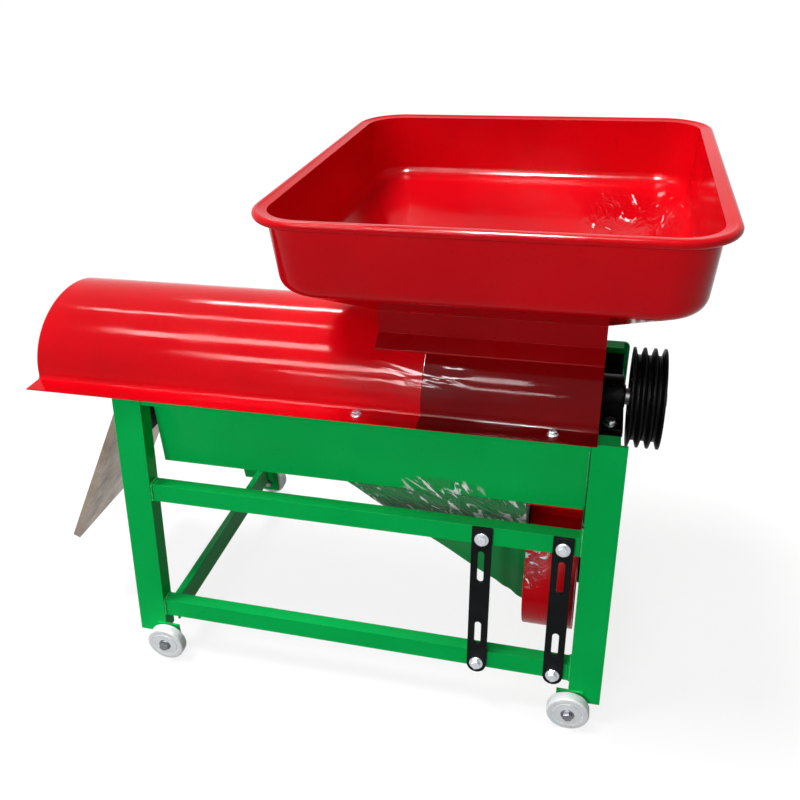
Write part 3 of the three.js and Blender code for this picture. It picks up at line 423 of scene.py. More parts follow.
# Each finish is a material and the paint slot that it stands for
finishes = {
    "green": (
        paint("green_gloss", GREEN, GREEN_SHADE, gloss=0.34, shine=GREEN_SPECULAR),
        "green_paint",
    ),
    "green_panel": (
        paint("green_panel_film_painted_glints_shade", GREEN, GREEN_SHADE, gloss=0.32, film=film["panel"]),
        "green_paint",
    ),
    # Green darkened as painted shade for the chute, with the film's painted shade and glints
    "green_chute_painted_shade": (
        paint("green_chute_film_painted_glints_shade", CHUTE_GREEN_PAINTED_SHADE, CHUTE_DARKER_PAINTED_SHADE, gloss=0.32, film=film["chute"]),
        "green_paint",
    ),
    "red_pan": (
        paint("red_pan_film_painted_glints_shade", RED, RED_SHADE, 0.13, 0.5, film["pan"], PAN_CRINKLE),
        "red_paint",
    ),
    "red_cover": (
        paint("red_gloss_film", RED, RED_SHADE, 0.09, 0.1, film["seam"], SEAM_CRINKLE),
        "red_paint",
    ),
    "red_fan": (
        paint("red_fan_film_painted_glints_shade", RED, RED_SHADE, 0.26, 1.0, film["fan"], FAN_CRINKLE),
        "red_paint",
    ),
    # Red darkened as painted shade for the feed cover under the pan
    "red_cover_painted_shade": (
        paint("red_film_painted_shade", COVER_RED_PAINTED_SHADE, COVER_RED_DARKER_PAINTED_SHADE, 0.09, 0.1, film["seam"], SEAM_CRINKLE),
        "red_paint",
    ),
    "dark_red": (
        paint("dark_red_gloss", DEEP_RED, DEEP_RED_SHADE, gloss=0.3),
        "dark_red_paint",
    ),
    "black": (
        cast_black("black_paint", BLACK, BLACK_SHADE, roughness=0.38, grain_height=0.00003),
        "black_paint",
    ),
    "iron": (
        cast_black("black_cast_iron", IRON, IRON_SHADE, roughness=0.42, grain_height=0.00016),
        "black_iron",
    ),
    "zinc": (
        plated("zinc_plating", ZINC, ZINC_SHADE, 0.26, flake_scale=240.0, flake_share=0.3),
        "zinc_steel",
    ),
    "galvanised": (
        plated(
            "galvanised_sheet", GALVANISED, GALVANISED_SHADE, 0.44,
            flake_scale=110.0, flake_share=0.35,
        ),
        "galvanised_steel",
    ),
    "steel": (
        worn_steel("rolled_steel", STEEL, STEEL_SHADE, roughness=0.42),
        "bare_steel",
    ),
    "dull_zinc": (
        plated("dull_zinc", DULL_ZINC, DULL_ZINC_SHADE, 0.4, flake_scale=240.0, flake_share=0.3),
        "zinc_steel",
    ),
    "nylon": (moulded("white_nylon", NYLON, NYLON_SHADE, roughness=0.42), "white_nylon"),
    "hub": (moulded("dark_hub", HUB, HUB_SHADE, roughness=0.5), "white_nylon"),
}


# Meshes


def piece(bm, name, finish, body, replaced=()):
    """Turns a mesh into a smooth-shaded piece that rides on a body."""
    bmesh.ops.recalc_face_normals(bm, faces=bm.faces)
    mesh = bpy.data.meshes.new(name)
    bm.to_mesh(mesh)
    bm.free()
    mesh.shade_smooth()
    mesh.set_sharp_from_angle(angle=SHARP_ANGLE)
    obj = bpy.data.objects.new(name, mesh)
    bpy.context.scene.collection.objects.link(obj)
    material, slot = finishes[finish]
    mesh.materials.append(material)
    flat = obj.modifiers.new("flat_faces", "WEIGHTED_NORMAL")
    flat.keep_sharp = True
    flat.weight = FLAT_WEIGHT
    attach(obj, body)
    if replaced:
        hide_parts(*replaced)
    return obj


def sharp_edges(bm, angle=SHARP_ANGLE):
    return [e for e in bm.edges if len(e.link_faces) == 2 and e.calc_face_angle(0) > angle]


def ease(bm, edges, width, segments=2):
    bmesh.ops.bevel(
        bm, geom=edges, offset=width, segments=segments, profile=0.5,
        affect="EDGES", clamp_overlap=True,
    )


ROUND_SEGMENTS = 4
CAST_SEGMENTS = 3
CORNER_SHARE = 0.45


def solid_of(node):
    """A CAD node's mesh as one welded skin of large faces."""
    bm = bmesh.new()
    bm.from_mesh(nodes[node].data)
    bmesh.ops.remove_doubles(bm, verts=bm.verts, dist=MERGE_REACH)
    bmesh.ops.dissolve_limit(bm, angle_limit=FLAT_ANGLE, verts=bm.verts, edges=bm.edges)
    return bm


def eased(node, finish, width=SHEET_EASE, rounded=None, round_width=0.0):
    """The node's shape with eased edges; rounded picks edges for a larger radius."""
    bm = solid_of(node)
    if rounded:
        picked = [e for e in sharp_edges(bm) if rounded(e)]
        ease(bm, picked, round_width, ROUND_SEGMENTS)
    ease(bm, sharp_edges(bm), width)
    return piece(bm, f"{node}_finished", finish, nodes[node]["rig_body"], [node])


# Upright folds at the grain chute's right end
FOLD_DEPTH = 0.0022
FOLD_PITCH = 0.026
FOLD_REACH = 0.075


def dented(node, finish, step, depth, scale, margin, width=SHEET_EASE, folds=0.0):
    """The node's shape with shallow dents in its sheet, which fade out at its edges.

    Folds is the depth of the upright folds near its right end.
    """
    low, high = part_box(node)
    bm = solid_of(node)
    ease(bm, sharp_edges(bm), width)
    for axis in (axis_x, axis_z):
        start = low.dot(axis) + step / 2
        count = int((high - low).dot(axis) / step)
        for i in range(count):
            bmesh.ops.bisect_plane(
                bm, geom=bm.verts[:] + bm.edges[:] + bm.faces[:], dist=MERGE_REACH,
                plane_co=axis * (start + i * step), plane_no=axis,
            )
    for vert in bm.verts:
        reach = min(vert.co.x - low.x, high.x - vert.co.x, vert.co.z - low.z, high.z - vert.co.z)
        fade = min(1.0, max(0.0, reach / margin))
        place = Vector((vert.co.x * scale, 0.0, vert.co.z * scale))
        vert.co.y += depth * fade * noise.noise(place)
        near_end = max(0.0, 1 - (high.x - vert.co.x) / FOLD_REACH)
        vert.co.y += folds * fade * near_end * math.sin(2 * math.pi * vert.co.x / FOLD_PITCH)
    return piece(bm, f"{node}_finished", finish, nodes[node]["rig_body"], [node])


def rounded_path(points, radius, steps=4):
    """Closed outline with each corner turned into a small curve."""
    path = []
    count = len(points)
    for i, point in enumerate(points):
        here = Vector(point)
        before = Vector(points[i - 1]) - here
        after = Vector(points[(i + 1) % count]) - here
        reach = min(radius, before.length * CORNER_SHARE, after.length * CORNER_SHARE)
        start = here + before.normalized() * reach
        end = here + after.normalized() * reach
        for j in range(steps + 1):
            t = j / steps
            path.append(start * (1 - t) ** 2 + here * 2 * t * (1 - t) + end * t ** 2)
    return path


def bridge(bm, rings, closed=True):
    """Faces between rings of vertices, and from the last ring to the first."""
    pairs = zip(rings, rings[1:] + rings[:1]) if closed else zip(rings, rings[1:])
    for lower, upper in pairs:
        for i in range(len(lower)):
            k = (i + 1) % len(lower)
            bm.faces.new((lower[i], lower[k], upper[k], upper[i]))


def turned(bm, path, start, axis, steps=72):
    """A ring turned about an axis from a closed path of (radius, height) points."""
    side = axis.orthogonal().normalized()
    across = axis.cross(side)
    rings = []
    for radius, height in path:
        centre = start + axis * height
        ring = []
        for i in range(steps):
            angle = 2 * math.pi * i / steps
            spoke = side * math.cos(angle) + across * math.sin(angle)
            ring.append(bm.verts.new(centre + spoke * radius))
        rings.append(ring)
    bridge(bm, rings)


def prism(bm, sides, stations, start, axis, turn=0.0):
    """A capped prism through stations of (radius, height)."""
    side = axis.orthogonal().normalized()
    across = axis.cross(side)
    rings = []
    for radius, height in stations:
        ring = []
        for i in range(sides):
            angle = turn + 2 * math.pi * i / sides
            spoke = side * math.cos(angle) + across * math.sin(angle)
            ring.append(bm.verts.new(start + axis * height + spoke * radius))
        rings.append(ring)
    bridge(bm, rings, closed=False)
    bm.faces.new(rings[0])
    bm.faces.new(rings[-1])


def plate(bm, path, x0, x1):
    """A solid from a closed outline of (y, z) points, between two x."""
    ends = [[bm.verts.new((x, y, z)) for y, z in path] for x in (x0, x1)]
    bridge(bm, ends, closed=False)
    bm.faces.new(ends[0])
    bm.faces.new(ends[1])


# Hopper pan: the same stations as the solid, with finer corners and a rolled rim

PAN_SHEET = 0.002
BEAD_RADIUS = 0.006
RIM_FLANGE = 0.018
RIM_CORNER = 0.078
FLOOR_CORNER = 0.06
FLOOR_INSET = 0.025
FLOOR_DROP = 0.1
FOOT_CORNER = 0.006
FILLET_RISE = 0.016
FILLET_RUN_SHARE = 0.09
PAN_CORNER_STEPS = 16
PAN_FILLET_STEPS = 14
BEAD_STEPS = 18
BEAD_HALF_TURN = 3 * math.pi / 4


def station_ring(bm, station):
    left, right, front, rear, corner, z = (
        station[key] for key in ("left", "right", "front", "rear", "corner", "z")
    )
    centres = (
        (right - corner, rear - corner), (left + corner, rear - corner),
        (left + corner, front + corner), (right - corner, front + corner),
    )
    ring = []
    for quarter, (x, y) in enumerate(centres):
        for i in range(PAN_CORNER_STEPS + 1):
            angle = (quarter + i / PAN_CORNER_STEPS) * math.pi / 2
            ring.append(bm.verts.new((x + corner * math.cos(angle), y + corner * math.sin(angle), z)))
    return ring


def inset(station, amount, z):
    return {
        "left": station["left"] + amount, "right": station["right"] - amount,
        "front": station["front"] + amount, "rear": station["rear"] - amount,
        "corner": station["corner"] - amount, "z": z,
    }


def between(a, b, share):
    return {key: a[key] + (b[key] - a[key]) * share for key in a}


def hopper_pan():
    low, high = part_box("hopper_pan")
    throat_low, throat_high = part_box("hopper_throat")
    saddle = throat_half_width()
    middle = (throat_low.y + throat_high.y) / 2
    rim = {
        "left": low.x, "right": high.x, "front": low.y, "rear": high.y,
        "corner": RIM_CORNER, "z": high.z - BEAD_RADIUS,
    }
    floor = {
        "left": rim["left"] + FLOOR_INSET, "right": rim["right"] - FLOOR_INSET,
        "front": rim["front"] + FLOOR_INSET, "rear": rim["rear"] - FLOOR_INSET,
        "corner": FLOOR_CORNER, "z": rim["z"] - FLOOR_DROP,
    }
    foot = {
        "left": throat_low.x, "right": throat_high.x, "front": middle - saddle, "rear": middle + saddle,
        "corner": FOOT_CORNER, "z": low.z,
    }
    wall_top = inset(rim, RIM_FLANGE, rim["z"] - BEAD_RADIUS / 2)
    turn_end = between(floor, wall_top, FILLET_RISE / (wall_top["z"] - floor["z"]))
    turn_begin = between(floor, foot, FILLET_RUN_SHARE)
    outer = [foot]
    for i in range(PAN_FILLET_STEPS + 1):
        share = i / PAN_FILLET_STEPS
        outer.append(between(between(turn_begin, floor, share), between(floor, turn_end, share), share))
    outer.append(wall_top)
    bead = []
    for i in range(BEAD_STEPS + 1):
        angle = (i / BEAD_STEPS * 2 - 1) * BEAD_HALF_TURN
        bead.append(inset(
            rim, BEAD_RADIUS - BEAD_RADIUS * math.cos(angle), rim["z"] + BEAD_RADIUS * math.sin(angle)
        ))
    inner = [inset(s, PAN_SHEET, s["z"] + PAN_SHEET) for s in outer[:-1]]
    inner.append(inset(wall_top, PAN_SHEET, wall_top["z"] + BEAD_RADIUS))
    bm = bmesh.new()
    bridge(bm, [station_ring(bm, s) for s in outer + bead + inner[::-1]])
    return piece(bm, "hopper_pan_finished", "red_pan", "frame", ["hopper_pan"])


def throat_half_width():
    """Half the width of the throat where it meets the pan."""
    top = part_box("hopper_throat")[1].z
    ys = [v.co.y for v in nodes["hopper_throat"].data.vertices if v.co.z > top - SHEET_EASE]
    return (max(ys) - min(ys)) / 2


# Covers: half-round sheet with flanges, and the opening under the throat

COVER_SHEET = 0.002
COVER_HALF_WIDTH = 0.1336
COVER_FILLET = 0.005
COVER_FILLET_STEPS = 6
COVER_FIRST_STEP = 2
COVER_FLANK_STEPS = 22
COVER_TOP_STEPS = 20
COVER_SHARP_ANGLE = math.radians(60)
OPENING_LEFT_MARGIN = 0.021
OPENING_RIGHT_MARGIN = 0.015
OPENING_HALF_WIDTH = 0.0615


def cover_profile(low, high):
    """Points (y, z) over the cover, and which steps between them cross the opening."""
    middle = (low.y + high.y) / 2
    base = low.z + COVER_SHEET
    rise = high.z - base
    edge = math.acos(OPENING_HALF_WIDTH / COVER_HALF_WIDTH)
    angles = [edge * i / COVER_FLANK_STEPS for i in range(COVER_FIRST_STEP, COVER_FLANK_STEPS)]
    top = [
        edge + (math.pi - 2 * edge) * i / COVER_TOP_STEPS for i in range(COVER_TOP_STEPS + 1)
    ]
    angles = angles + top + [math.pi - angle for angle in angles[::-1]]
    arch = [(middle - COVER_HALF_WIDTH * math.cos(a), base + rise * math.sin(a)) for a in angles]
    foot = middle - COVER_HALF_WIDTH
    turn_start = Vector((foot - COVER_FILLET, base))
    corner = Vector((foot, base))
    turn_end = Vector(arch[0])
    fillet = []
    for i in range(COVER_FILLET_STEPS):
        t = i / COVER_FILLET_STEPS
        fillet.append(tuple(
            turn_start * (1 - t) ** 2 + corner * 2 * t * (1 - t) + turn_end * t ** 2
        ))
    left = [(low.y, base)] + fillet
    right = [(2 * middle - y, z) for y, z in left[::-1]]
    first = len(left) + COVER_FLANK_STEPS - COVER_FIRST_STEP
    return left + arch + right, range(first, first + COVER_TOP_STEPS)


def cover(node, finish, open_left, open_right):
    """A length of the cover; the opening spans from open_left to open_right."""
    low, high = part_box(node)
    profile, crossing = cover_profile(low, high)
    stops = sorted({
        low.x, high.x, min(max(open_left, low.x), high.x), min(max(open_right, low.x), high.x),
    })
    bm = bmesh.new()
    rows = [[bm.verts.new((x, y, z)) for y, z in profile] for x in stops]
    for left, right, row, following in zip(stops, stops[1:], rows, rows[1:]):
        opened = left >= open_left - MERGE_REACH and right <= open_right + MERGE_REACH
        for i in range(len(profile) - 1):
            if not (opened and i in crossing):
                bm.faces.new((row[i], following[i], following[i + 1], row[i + 1]))
    bmesh.ops.recalc_face_normals(bm, faces=bm.faces)
    if sum(f.normal.z * f.calc_area() for f in bm.faces) < 0:
        bmesh.ops.reverse_faces(bm, faces=bm.faces)
    bmesh.ops.solidify(bm, geom=bm.faces[:], thickness=COVER_SHEET)
    ease(bm, sharp_edges(bm, COVER_SHARP_ANGLE), SHEET_EASE)
    return piece(bm, f"{node}_finished", finish, "frame", [node])


def covers():
    throat_low, throat_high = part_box("hopper_throat")
    span = (throat_low.x + OPENING_LEFT_MARGIN, throat_high.x - OPENING_RIGHT_MARGIN)
    cover("drum_hood", "red_cover", *span)
    cover("feed_cover", "red_cover_painted_shade", *span)


# Bolts: chamfered hexagons, washer, and a threaded end

LEAN_FRONT = Vector((0, -1, LEAN)).normalized()
bolt_families = {
    "bearing_bolt": {"shank": 0.005, "head": 0.0085, "height": 0.007, "washer": 0.01, "thick": 0.002,
                     "nut": 0.0085, "nut_height": 0.008},
    "bar_bolt": {"shank": 0.004, "head": 0.0075, "height": 0.006, "washer": 0.0105, "thick": 0.002,
                 "nut": 0.007, "nut_height": 0.0065},
    "cover_bolt": {"shank": 0.003, "head": 0.0062, "height": 0.005, "washer": 0.008, "thick": 0.0015,
                   "nut": 0.0062, "nut_height": 0.005},
    "axle_bolt": {"shank": 0.005, "head": 0.008, "height": 0.005, "washer": 0.01, "thick": 0.0015,
                  "nut": 0.0075, "nut_height": 0.007},
}
BOLT_TAIL = 0.003
THREAD_PITCH = 0.0012
THREAD_DEPTH = 0.0005
THREAD_ROOT_SHARE = 0.3
THREAD_CREST_SHARE = 0.8
CHAMFER = 0.0008
HEXAGON = 6
WASHER_SIDES = 24
SHANK_SIDES = 20

# How far each hexagon is turned, in radians
BEARING_TURN = 0.3
AXLE_TURN = 0.5
BAR_TURNS = (("upper", 0.2), ("lower", 0.45))
COVER_TURNS = (("front", 0.1), ("rear", 0.6))


def reach_along(node, axis):
    """Middle of a node's far face along an axis, and the node's length along it."""
    along = [v.co.dot(axis) for v in nodes[node].data.vertices]
    far = max(along)
    top = [v.co for v, s in zip(nodes[node].data.vertices, along) if s > far - MERGE_REACH]
    lows = [min(v[i] for v in top) for i in range(3)]
    highs = [max(v[i] for v in top) for i in range(3)]
    return (Vector(lows) + Vector(highs)) / 2, far - min(along)


def bolt(node, direction, turn):
    size = next(values for name, values in bolt_families.items() if node.startswith(name))
    top, length = reach_along(node, direction)
    down = -direction
    bm = bmesh.new()
    head, washer = size["height"], size["height"] + size["thick"]
    prism(bm, HEXAGON, [
        (size["head"] - CHAMFER, 0), (size["head"], CHAMFER), (size["head"], head),
    ], top, down, turn)
    prism(bm, WASHER_SIDES, [
        (size["washer"] - CHAMFER / 2, head), (size["washer"], head + CHAMFER / 2),
        (size["washer"], washer),
    ], top, down)
    nut_end = length - BOLT_TAIL
    nut_start = nut_end - size["nut_height"]
    prism(bm, HEXAGON, [
        (size["nut"] - CHAMFER, nut_start), (size["nut"], nut_start + CHAMFER),
        (size["nut"], nut_end - CHAMFER), (size["nut"] - CHAMFER, nut_end),
    ], top, down, turn)
    stations = [(size["shank"], head), (size["shank"], nut_start)]
    turns = int((length - nut_start) / THREAD_PITCH)
    for i in range(turns):
        start = nut_start + i * THREAD_PITCH
        stations.append((size["shank"] - THREAD_DEPTH, start + THREAD_PITCH * THREAD_ROOT_SHARE))
        stations.append((size["shank"], start + THREAD_PITCH * THREAD_CREST_SHARE))
    stations.append((size["shank"] - 2 * THREAD_DEPTH, length))
    prism(bm, SHANK_SIDES, stations, top, down)
    finish = "dull_zinc" if node.startswith("axle_bolt") else "zinc"
    piece(bm, f"{node}_finished", finish, nodes[node]["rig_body"], [node])


def bolts():
    for side in ("left", "right"):
        for end, sign in (("front", -1), ("rear", 1)):
            bolt(f"bearing_bolt_{side}_{end}", axis_z, BEARING_TURN)
            bolt(f"axle_bolt_{end}_{side}", axis_y * sign, AXLE_TURN)
        for end, turn in BAR_TURNS:
            bolt(f"bar_bolt_{side}_{end}", LEAN_FRONT, turn)
    for part in ("hood", "feed"):
        for end, turn in COVER_TURNS:
            bolt(f"cover_bolt_{part}_{end}", axis_z, turn)


# Wheels: nylon tyres with rounded shoulders, a groove and a dark hub insert

WHEEL_RADIUS = 0.0322
WHEEL_WIDTH = 0.0174
WHEEL_SHOULDER = 0.0035
WHEEL_BORE = 0.0055
GROOVE_RADIUS = 0.021
GROOVE_WIDTH = 0.003
GROOVE_DEPTH = 0.0015
HUB_RADIUS = 0.0105
HUB_STAND = 0.0006
SHOULDER_STEPS = 4
HUB_CORNER_STEPS = 2
TYRE_SIDES = 96
HUB_SIDES = 48


def wheel(end, side, direction):
    node = f"wheel_{end}_{side}"
    low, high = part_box(node)
    middle = (low + high) / 2
    start = middle - direction * WHEEL_WIDTH / 2
    bm = bmesh.new()
    outer = GROOVE_RADIUS + GROOVE_WIDTH
    path = rounded_path([
        (WHEEL_BORE, 0), (WHEEL_RADIUS, 0), (WHEEL_RADIUS, WHEEL_WIDTH), (outer, WHEEL_WIDTH),
    ], WHEEL_SHOULDER, SHOULDER_STEPS)
    slope = GROOVE_WIDTH / 4
    path = path[:-1 - SHOULDER_STEPS] + [Vector(point) for point in (
        (outer, WHEEL_WIDTH), (outer - slope, WHEEL_WIDTH - GROOVE_DEPTH),
        (GROOVE_RADIUS + slope, WHEEL_WIDTH - GROOVE_DEPTH), (GROOVE_RADIUS, WHEEL_WIDTH),
        (HUB_RADIUS + CHAMFER, WHEEL_WIDTH), (WHEEL_BORE, WHEEL_WIDTH),
    )]
    turned(bm, path, start, direction, TYRE_SIDES)
    tyre = piece(bm, f"{node}_finished", "nylon", node, [node])
    bm = bmesh.new()
    hub = rounded_path([
        (WHEEL_BORE, -HUB_STAND), (HUB_RADIUS, -HUB_STAND),
        (HUB_RADIUS, WHEEL_WIDTH + HUB_STAND), (WHEEL_BORE, WHEEL_WIDTH + HUB_STAND),
    ], CHAMFER, HUB_CORNER_STEPS)
    turned(bm, hub, start, direction, HUB_SIDES)
    insert = piece(bm, f"{node}_hub", "hub", node)
    return tyre, insert


def wheels():
    for side in ("left", "right"):
        wheel("front", side, -axis_y)
        wheel("rear", side, axis_y)


# Pulley: three belt grooves between thin rims, dished web and hub

PULLEY_RIMS = 4
PULLEY_PITCH = 0.01483
RIM_LAND = 0.0035
GROOVE_FLOOR = 0.005
PULLEY_GROOVE_DEPTH = 0.011
PULLEY_HUB = 0.028
PULLEY_WEB = 0.054
WEB_SLOPE = 0.002
WEB_RECESS = 0.01
PULLEY_EASE = 0.0014
PULLEY_CORNER_STEPS = 3
PULLEY_SIDES = 96


def pulley():
    low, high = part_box("drum_pulley")
    shaft_low, shaft_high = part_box("drum_shaft")
    bore = (shaft_high.z - shaft_low.z) / 2 + BORE_GAP
    radius = (high.z - low.z) / 2
    width = high.x - low.x
    centre = Vector((low.x, (low.y + high.y) / 2, (low.z + high.z) / 2))
    points = [
        (bore, 0), (PULLEY_HUB, 0), (PULLEY_HUB, WEB_RECESS), (PULLEY_WEB - WEB_SLOPE, WEB_RECESS),
        (PULLEY_WEB, 0), (radius, 0),
    ]
    for i in range(PULLEY_RIMS - 1):
        start = i * PULLEY_PITCH + RIM_LAND
        gap = PULLEY_PITCH - RIM_LAND
        points += [
            (radius, start), (radius - PULLEY_GROOVE_DEPTH, start + (gap - GROOVE_FLOOR) / 2),
            (radius - PULLEY_GROOVE_DEPTH, start + (gap + GROOVE_FLOOR) / 2), (radius, start + gap),
        ]
    points += [
        (radius, width), (PULLEY_WEB, width), (PULLEY_WEB - WEB_SLOPE, width - WEB_RECESS),
        (PULLEY_HUB, width - WEB_RECESS), (PULLEY_HUB, width), (bore, width),
    ]
    bm = bmesh.new()
    outline = rounded_path(points, PULLEY_EASE, PULLEY_CORNER_STEPS)
    turned(bm, outline, centre, axis_x, PULLEY_SIDES)
    return piece(bm, "drum_pulley_finished", "iron", "drum", ["drum_pulley"])


# Bearing housings: cast foot and dome, insert ring with grease nipple

HOUSING_FOOT = 0.013
HOUSING_RADIUS = 0.032
HOUSING_BODY_WIDTH = 0.03
INSERT_RADIUS = 0.018
HOUSING_EASE = 0.003
HOUSING_STEPS = 28
HOUSING_SHARP_ANGLE = math.radians(50)
SKIRT_REACH = 0.012
SKIRT_DROP = 0.004
SKIRT_SHOULDER = 0.003
INSERT_EASE = 0.001
INSERT_CORNER_STEPS = 2
INSERT_SIDES = 48
NIPPLE_RADIUS = 0.0028
NIPPLE_HEIGHT = 0.0045
NIPPLE_SINK = 0.002
NIPPLE_SIDES = 12
NIPPLE_WAY = Vector((0, -0.6, 0.8))

# Shares of the nipple's radius and height, from its hexagon to its tip
NIPPLE_SHARES = ((1.0, 0.4), (0.6, 0.6), (0.75, 0.8), (0.5, 1.0))


def pillow_block(side):
    node = f"pillow_block_{side}"
    low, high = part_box(node)
    middle = (low + high) / 2
    axis_height = high.z - HOUSING_RADIUS
    foot_top = low.z + HOUSING_FOOT
    half = (high.y - low.y) / 2
    bm = bmesh.new()
    foot = rounded_path([
        (middle.y - half, low.z), (middle.y - half, foot_top),
        (middle.y + half, foot_top), (middle.y + half, low.z),
    ], HOUSING_EASE)
    plate(bm, foot, low.x, high.x)
    dome_side = middle.y - HOUSING_RADIUS
    dome = [
        (dome_side - SKIRT_REACH, foot_top - SKIRT_DROP),
        (dome_side - SKIRT_SHOULDER, foot_top + SKIRT_SHOULDER),
    ]
    for i in range(HOUSING_STEPS + 1):
        angle = math.pi * (1 - i / HOUSING_STEPS)
        dome.append((
            middle.y + HOUSING_RADIUS * math.cos(angle), axis_height + HOUSING_RADIUS * math.sin(angle)
        ))
    dome += [(2 * middle.y - y, z) for y, z in dome[1::-1]]
    plate(bm, dome, middle.x - HOUSING_BODY_WIDTH / 2, middle.x + HOUSING_BODY_WIDTH / 2)
    ease(bm, sharp_edges(bm, HOUSING_SHARP_ANGLE), CAST_EASE, CAST_SEGMENTS)
    shaft_low, shaft_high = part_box("drum_shaft")
    bore = (shaft_high.z - shaft_low.z) / 2 + BORE_GAP
    ring = rounded_path([
        (bore, 0), (INSERT_RADIUS, 0), (INSERT_RADIUS, high.x - low.x), (bore, high.x - low.x),
    ], INSERT_EASE, INSERT_CORNER_STEPS)
    turned(bm, ring, Vector((low.x, middle.y, axis_height)), axis_x, INSERT_SIDES)
    nipple = [(NIPPLE_RADIUS, -NIPPLE_SINK)]
    nipple += [(NIPPLE_RADIUS * wide, NIPPLE_HEIGHT * tall) for wide, tall in NIPPLE_SHARES]
    nipple_foot = Vector((middle.x, middle.y, axis_height)) + NIPPLE_WAY * HOUSING_RADIUS
    prism(bm, NIPPLE_SIDES, nipple, nipple_foot, NIPPLE_WAY)
    return piece(bm, f"{node}_finished", "iron", "frame", [node])


# Frame, trough, chutes and rotor


def painted_frame():
    for name in nodes:
        if name.startswith("leg_"):
            eased(name, "green", BAR_EASE)
        elif "_rail_" in name or name.startswith("top_rail"):
            eased(name, "green", BAR_EASE)
        elif name.startswith("end_beam"):
            eased(name, "black", BAR_EASE)
        elif name.startswith("slotted_bar"):
            eased(name, "black", SMALL_EASE)


# Weld beads where the rails meet the legs

WELD_PITCH = 0.0025
WELD_LOW = 0.0022
WELD_HIGH = 0.0034
WELD_SIDES = 10


def weld(bm, path):
    """A rippled bead along a path of places."""
    rings = []
    for start, end in zip(path, path[1:]):
        along = (end - start).normalized()
        side = along.cross(axis_x).normalized()
        count = max(2, 2 * int((end - start).length / WELD_PITCH))
        for i in range(count + 1):
            radius = WELD_LOW if i in (0, count) or i % 2 == 0 else WELD_HIGH
            centre = start + (end - start) * (i / count)
            ring = []
            for k in range(WELD_SIDES):
                angle = 2 * math.pi * k / WELD_SIDES
                spoke = axis_x * math.cos(angle) + side * math.sin(angle)
                ring.append(bm.verts.new(centre + spoke * radius))
            rings.append(ring)
    bridge(bm, rings, closed=False)
    bm.faces.new(rings[0])
    bm.faces.new(rings[-1])


def welds():
    for level in ("mid", "lower"):
        for side, sign in (("front", -1), ("rear", 1)):
            name = f"{level}_rail_{side}"
            places = [v.co for v in nodes[name].data.vertices]
            bm = bmesh.new()
            for end in (min(v.x for v in places), max(v.x for v in places)):
                profile = [v for v in places if abs(v.x - end) < MERGE_REACH]
                corner = max(profile, key=lambda v: v.z + sign * v.y)
                foot = min(profile, key=lambda v: v.z - sign * v.y * LEAN)
                back = min(profile, key=lambda v: sign * v.y - v.z)
                weld(bm, [Vector(foot), Vector(corner), Vector(back)])
            piece(bm, f"{name}_weld", "green", "frame")


def trough():
    for end in ("front", "rear"):
        dented(
            f"side_panel_{end}", "green_panel", step=0.012, depth=0.0032, scale=22.0, margin=0.03,
        )
    eased("trough_end_plate", "green")
    eased("concave_sieve", "steel", FINE_EASE)
    eased("hopper_throat", "dark_red")
    dented(
        "grain_chute", "green_chute_painted_shade", step=0.006, depth=0.003, scale=14.0, margin=0.012,
        width=FINE_EASE, folds=FOLD_DEPTH,
    )
    eased("cob_chute", "galvanised", THIN_EASE)


FAN_RIM_EASE = 0.005


def fan_parts():
    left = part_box("fan_casing")[0].x

    def on_left_rim(edge):
        return all(vert.co.x < left + MERGE_REACH for vert in edge.verts)

    eased("fan_casing", "red_fan", THIN_EASE, on_left_rim, FAN_RIM_EASE)
    eased("fan_side_cover", "red_fan", THIN_EASE)
    eased("fan_bearing", "iron", BAR_EASE)
    eased("fan_shaft", "steel", SMALL_EASE)
    eased("fan_impeller", "galvanised", THIN_EASE)


BEATER_BARS = 4


def rotor():
    eased("drum_shaft", "steel", ROD_EASE)
    eased("drum_barrel", "steel", SHEET_EASE)
    for i in range(1, BEATER_BARS + 1):
        eased(f"beater_bar_{i}", "steel", SHEET_EASE)


# Stage: camera, lights, world and floor

# Ceiling tubes that draw the streaks on the hood: middle x, middle y, length, width
TUBES = (
    (-1.232, 2.075, 0.997, 0.35),
    (-1.206, 0.550, 1.365, 0.09),
    (-1.014, -0.748, 1.420, 0.29),
    (-0.810, -2.256, 1.740, 0.50),
    (-0.800, -3.919, 1.850, 0.45),
)
TUBE_HEIGHT = 2.64
TUBE_RADIANCE = 56

# Lamp that the pan's front bead mirrors, measured like the tubes
RIM_TUBE = (0.06, -0.62, 0.3, 0.9)
RIM_RADIANCE = 640

# Fills as place, side and radiance; key as the way to it, its strength and its width in degrees
FILL_TARGET = (0.0, 0.0, 0.35)
KEY_TOWARDS = (-0.36, 0.06, 0.93)
KEY_STRENGTH = 2.95
KEY_SPREAD = 22
FILLS = {
    "fill_front": ((-0.7, -3.5, 1.7), 1.4, 10.5),
    "fill_rear": ((-0.6, 3.5, 1.8), 1.4, 6.5),
}

# World and floor
AMBIENT = 0.11
FLOOR_CELLS = 8
FLOOR_SIZE = 60
FLOOR_TONE = 0.86
FLOOR_BOUNCE = 0.14
FLOOR_GLOW = 1.08
FLOOR_GLOW_SHARE = 0.78


def area_lamp(name, place, target, size, radiance):
    data = bpy.data.lights.new(name, "AREA")
    data.shape = "RECTANGLE"
    data.size, data.size_y = size
    data.energy = radiance * math.pi * size[0] * size[1]
    lamp = bpy.data.objects.new(name, data)
    lamp.location = place
    lamp.rotation_euler = (Vector(target) - Vector(place)).to_track_quat("-Z", "Y").to_euler()
    lamp.visible_camera = False
    bpy.context.scene.collection.objects.link(lamp)
    return lamp


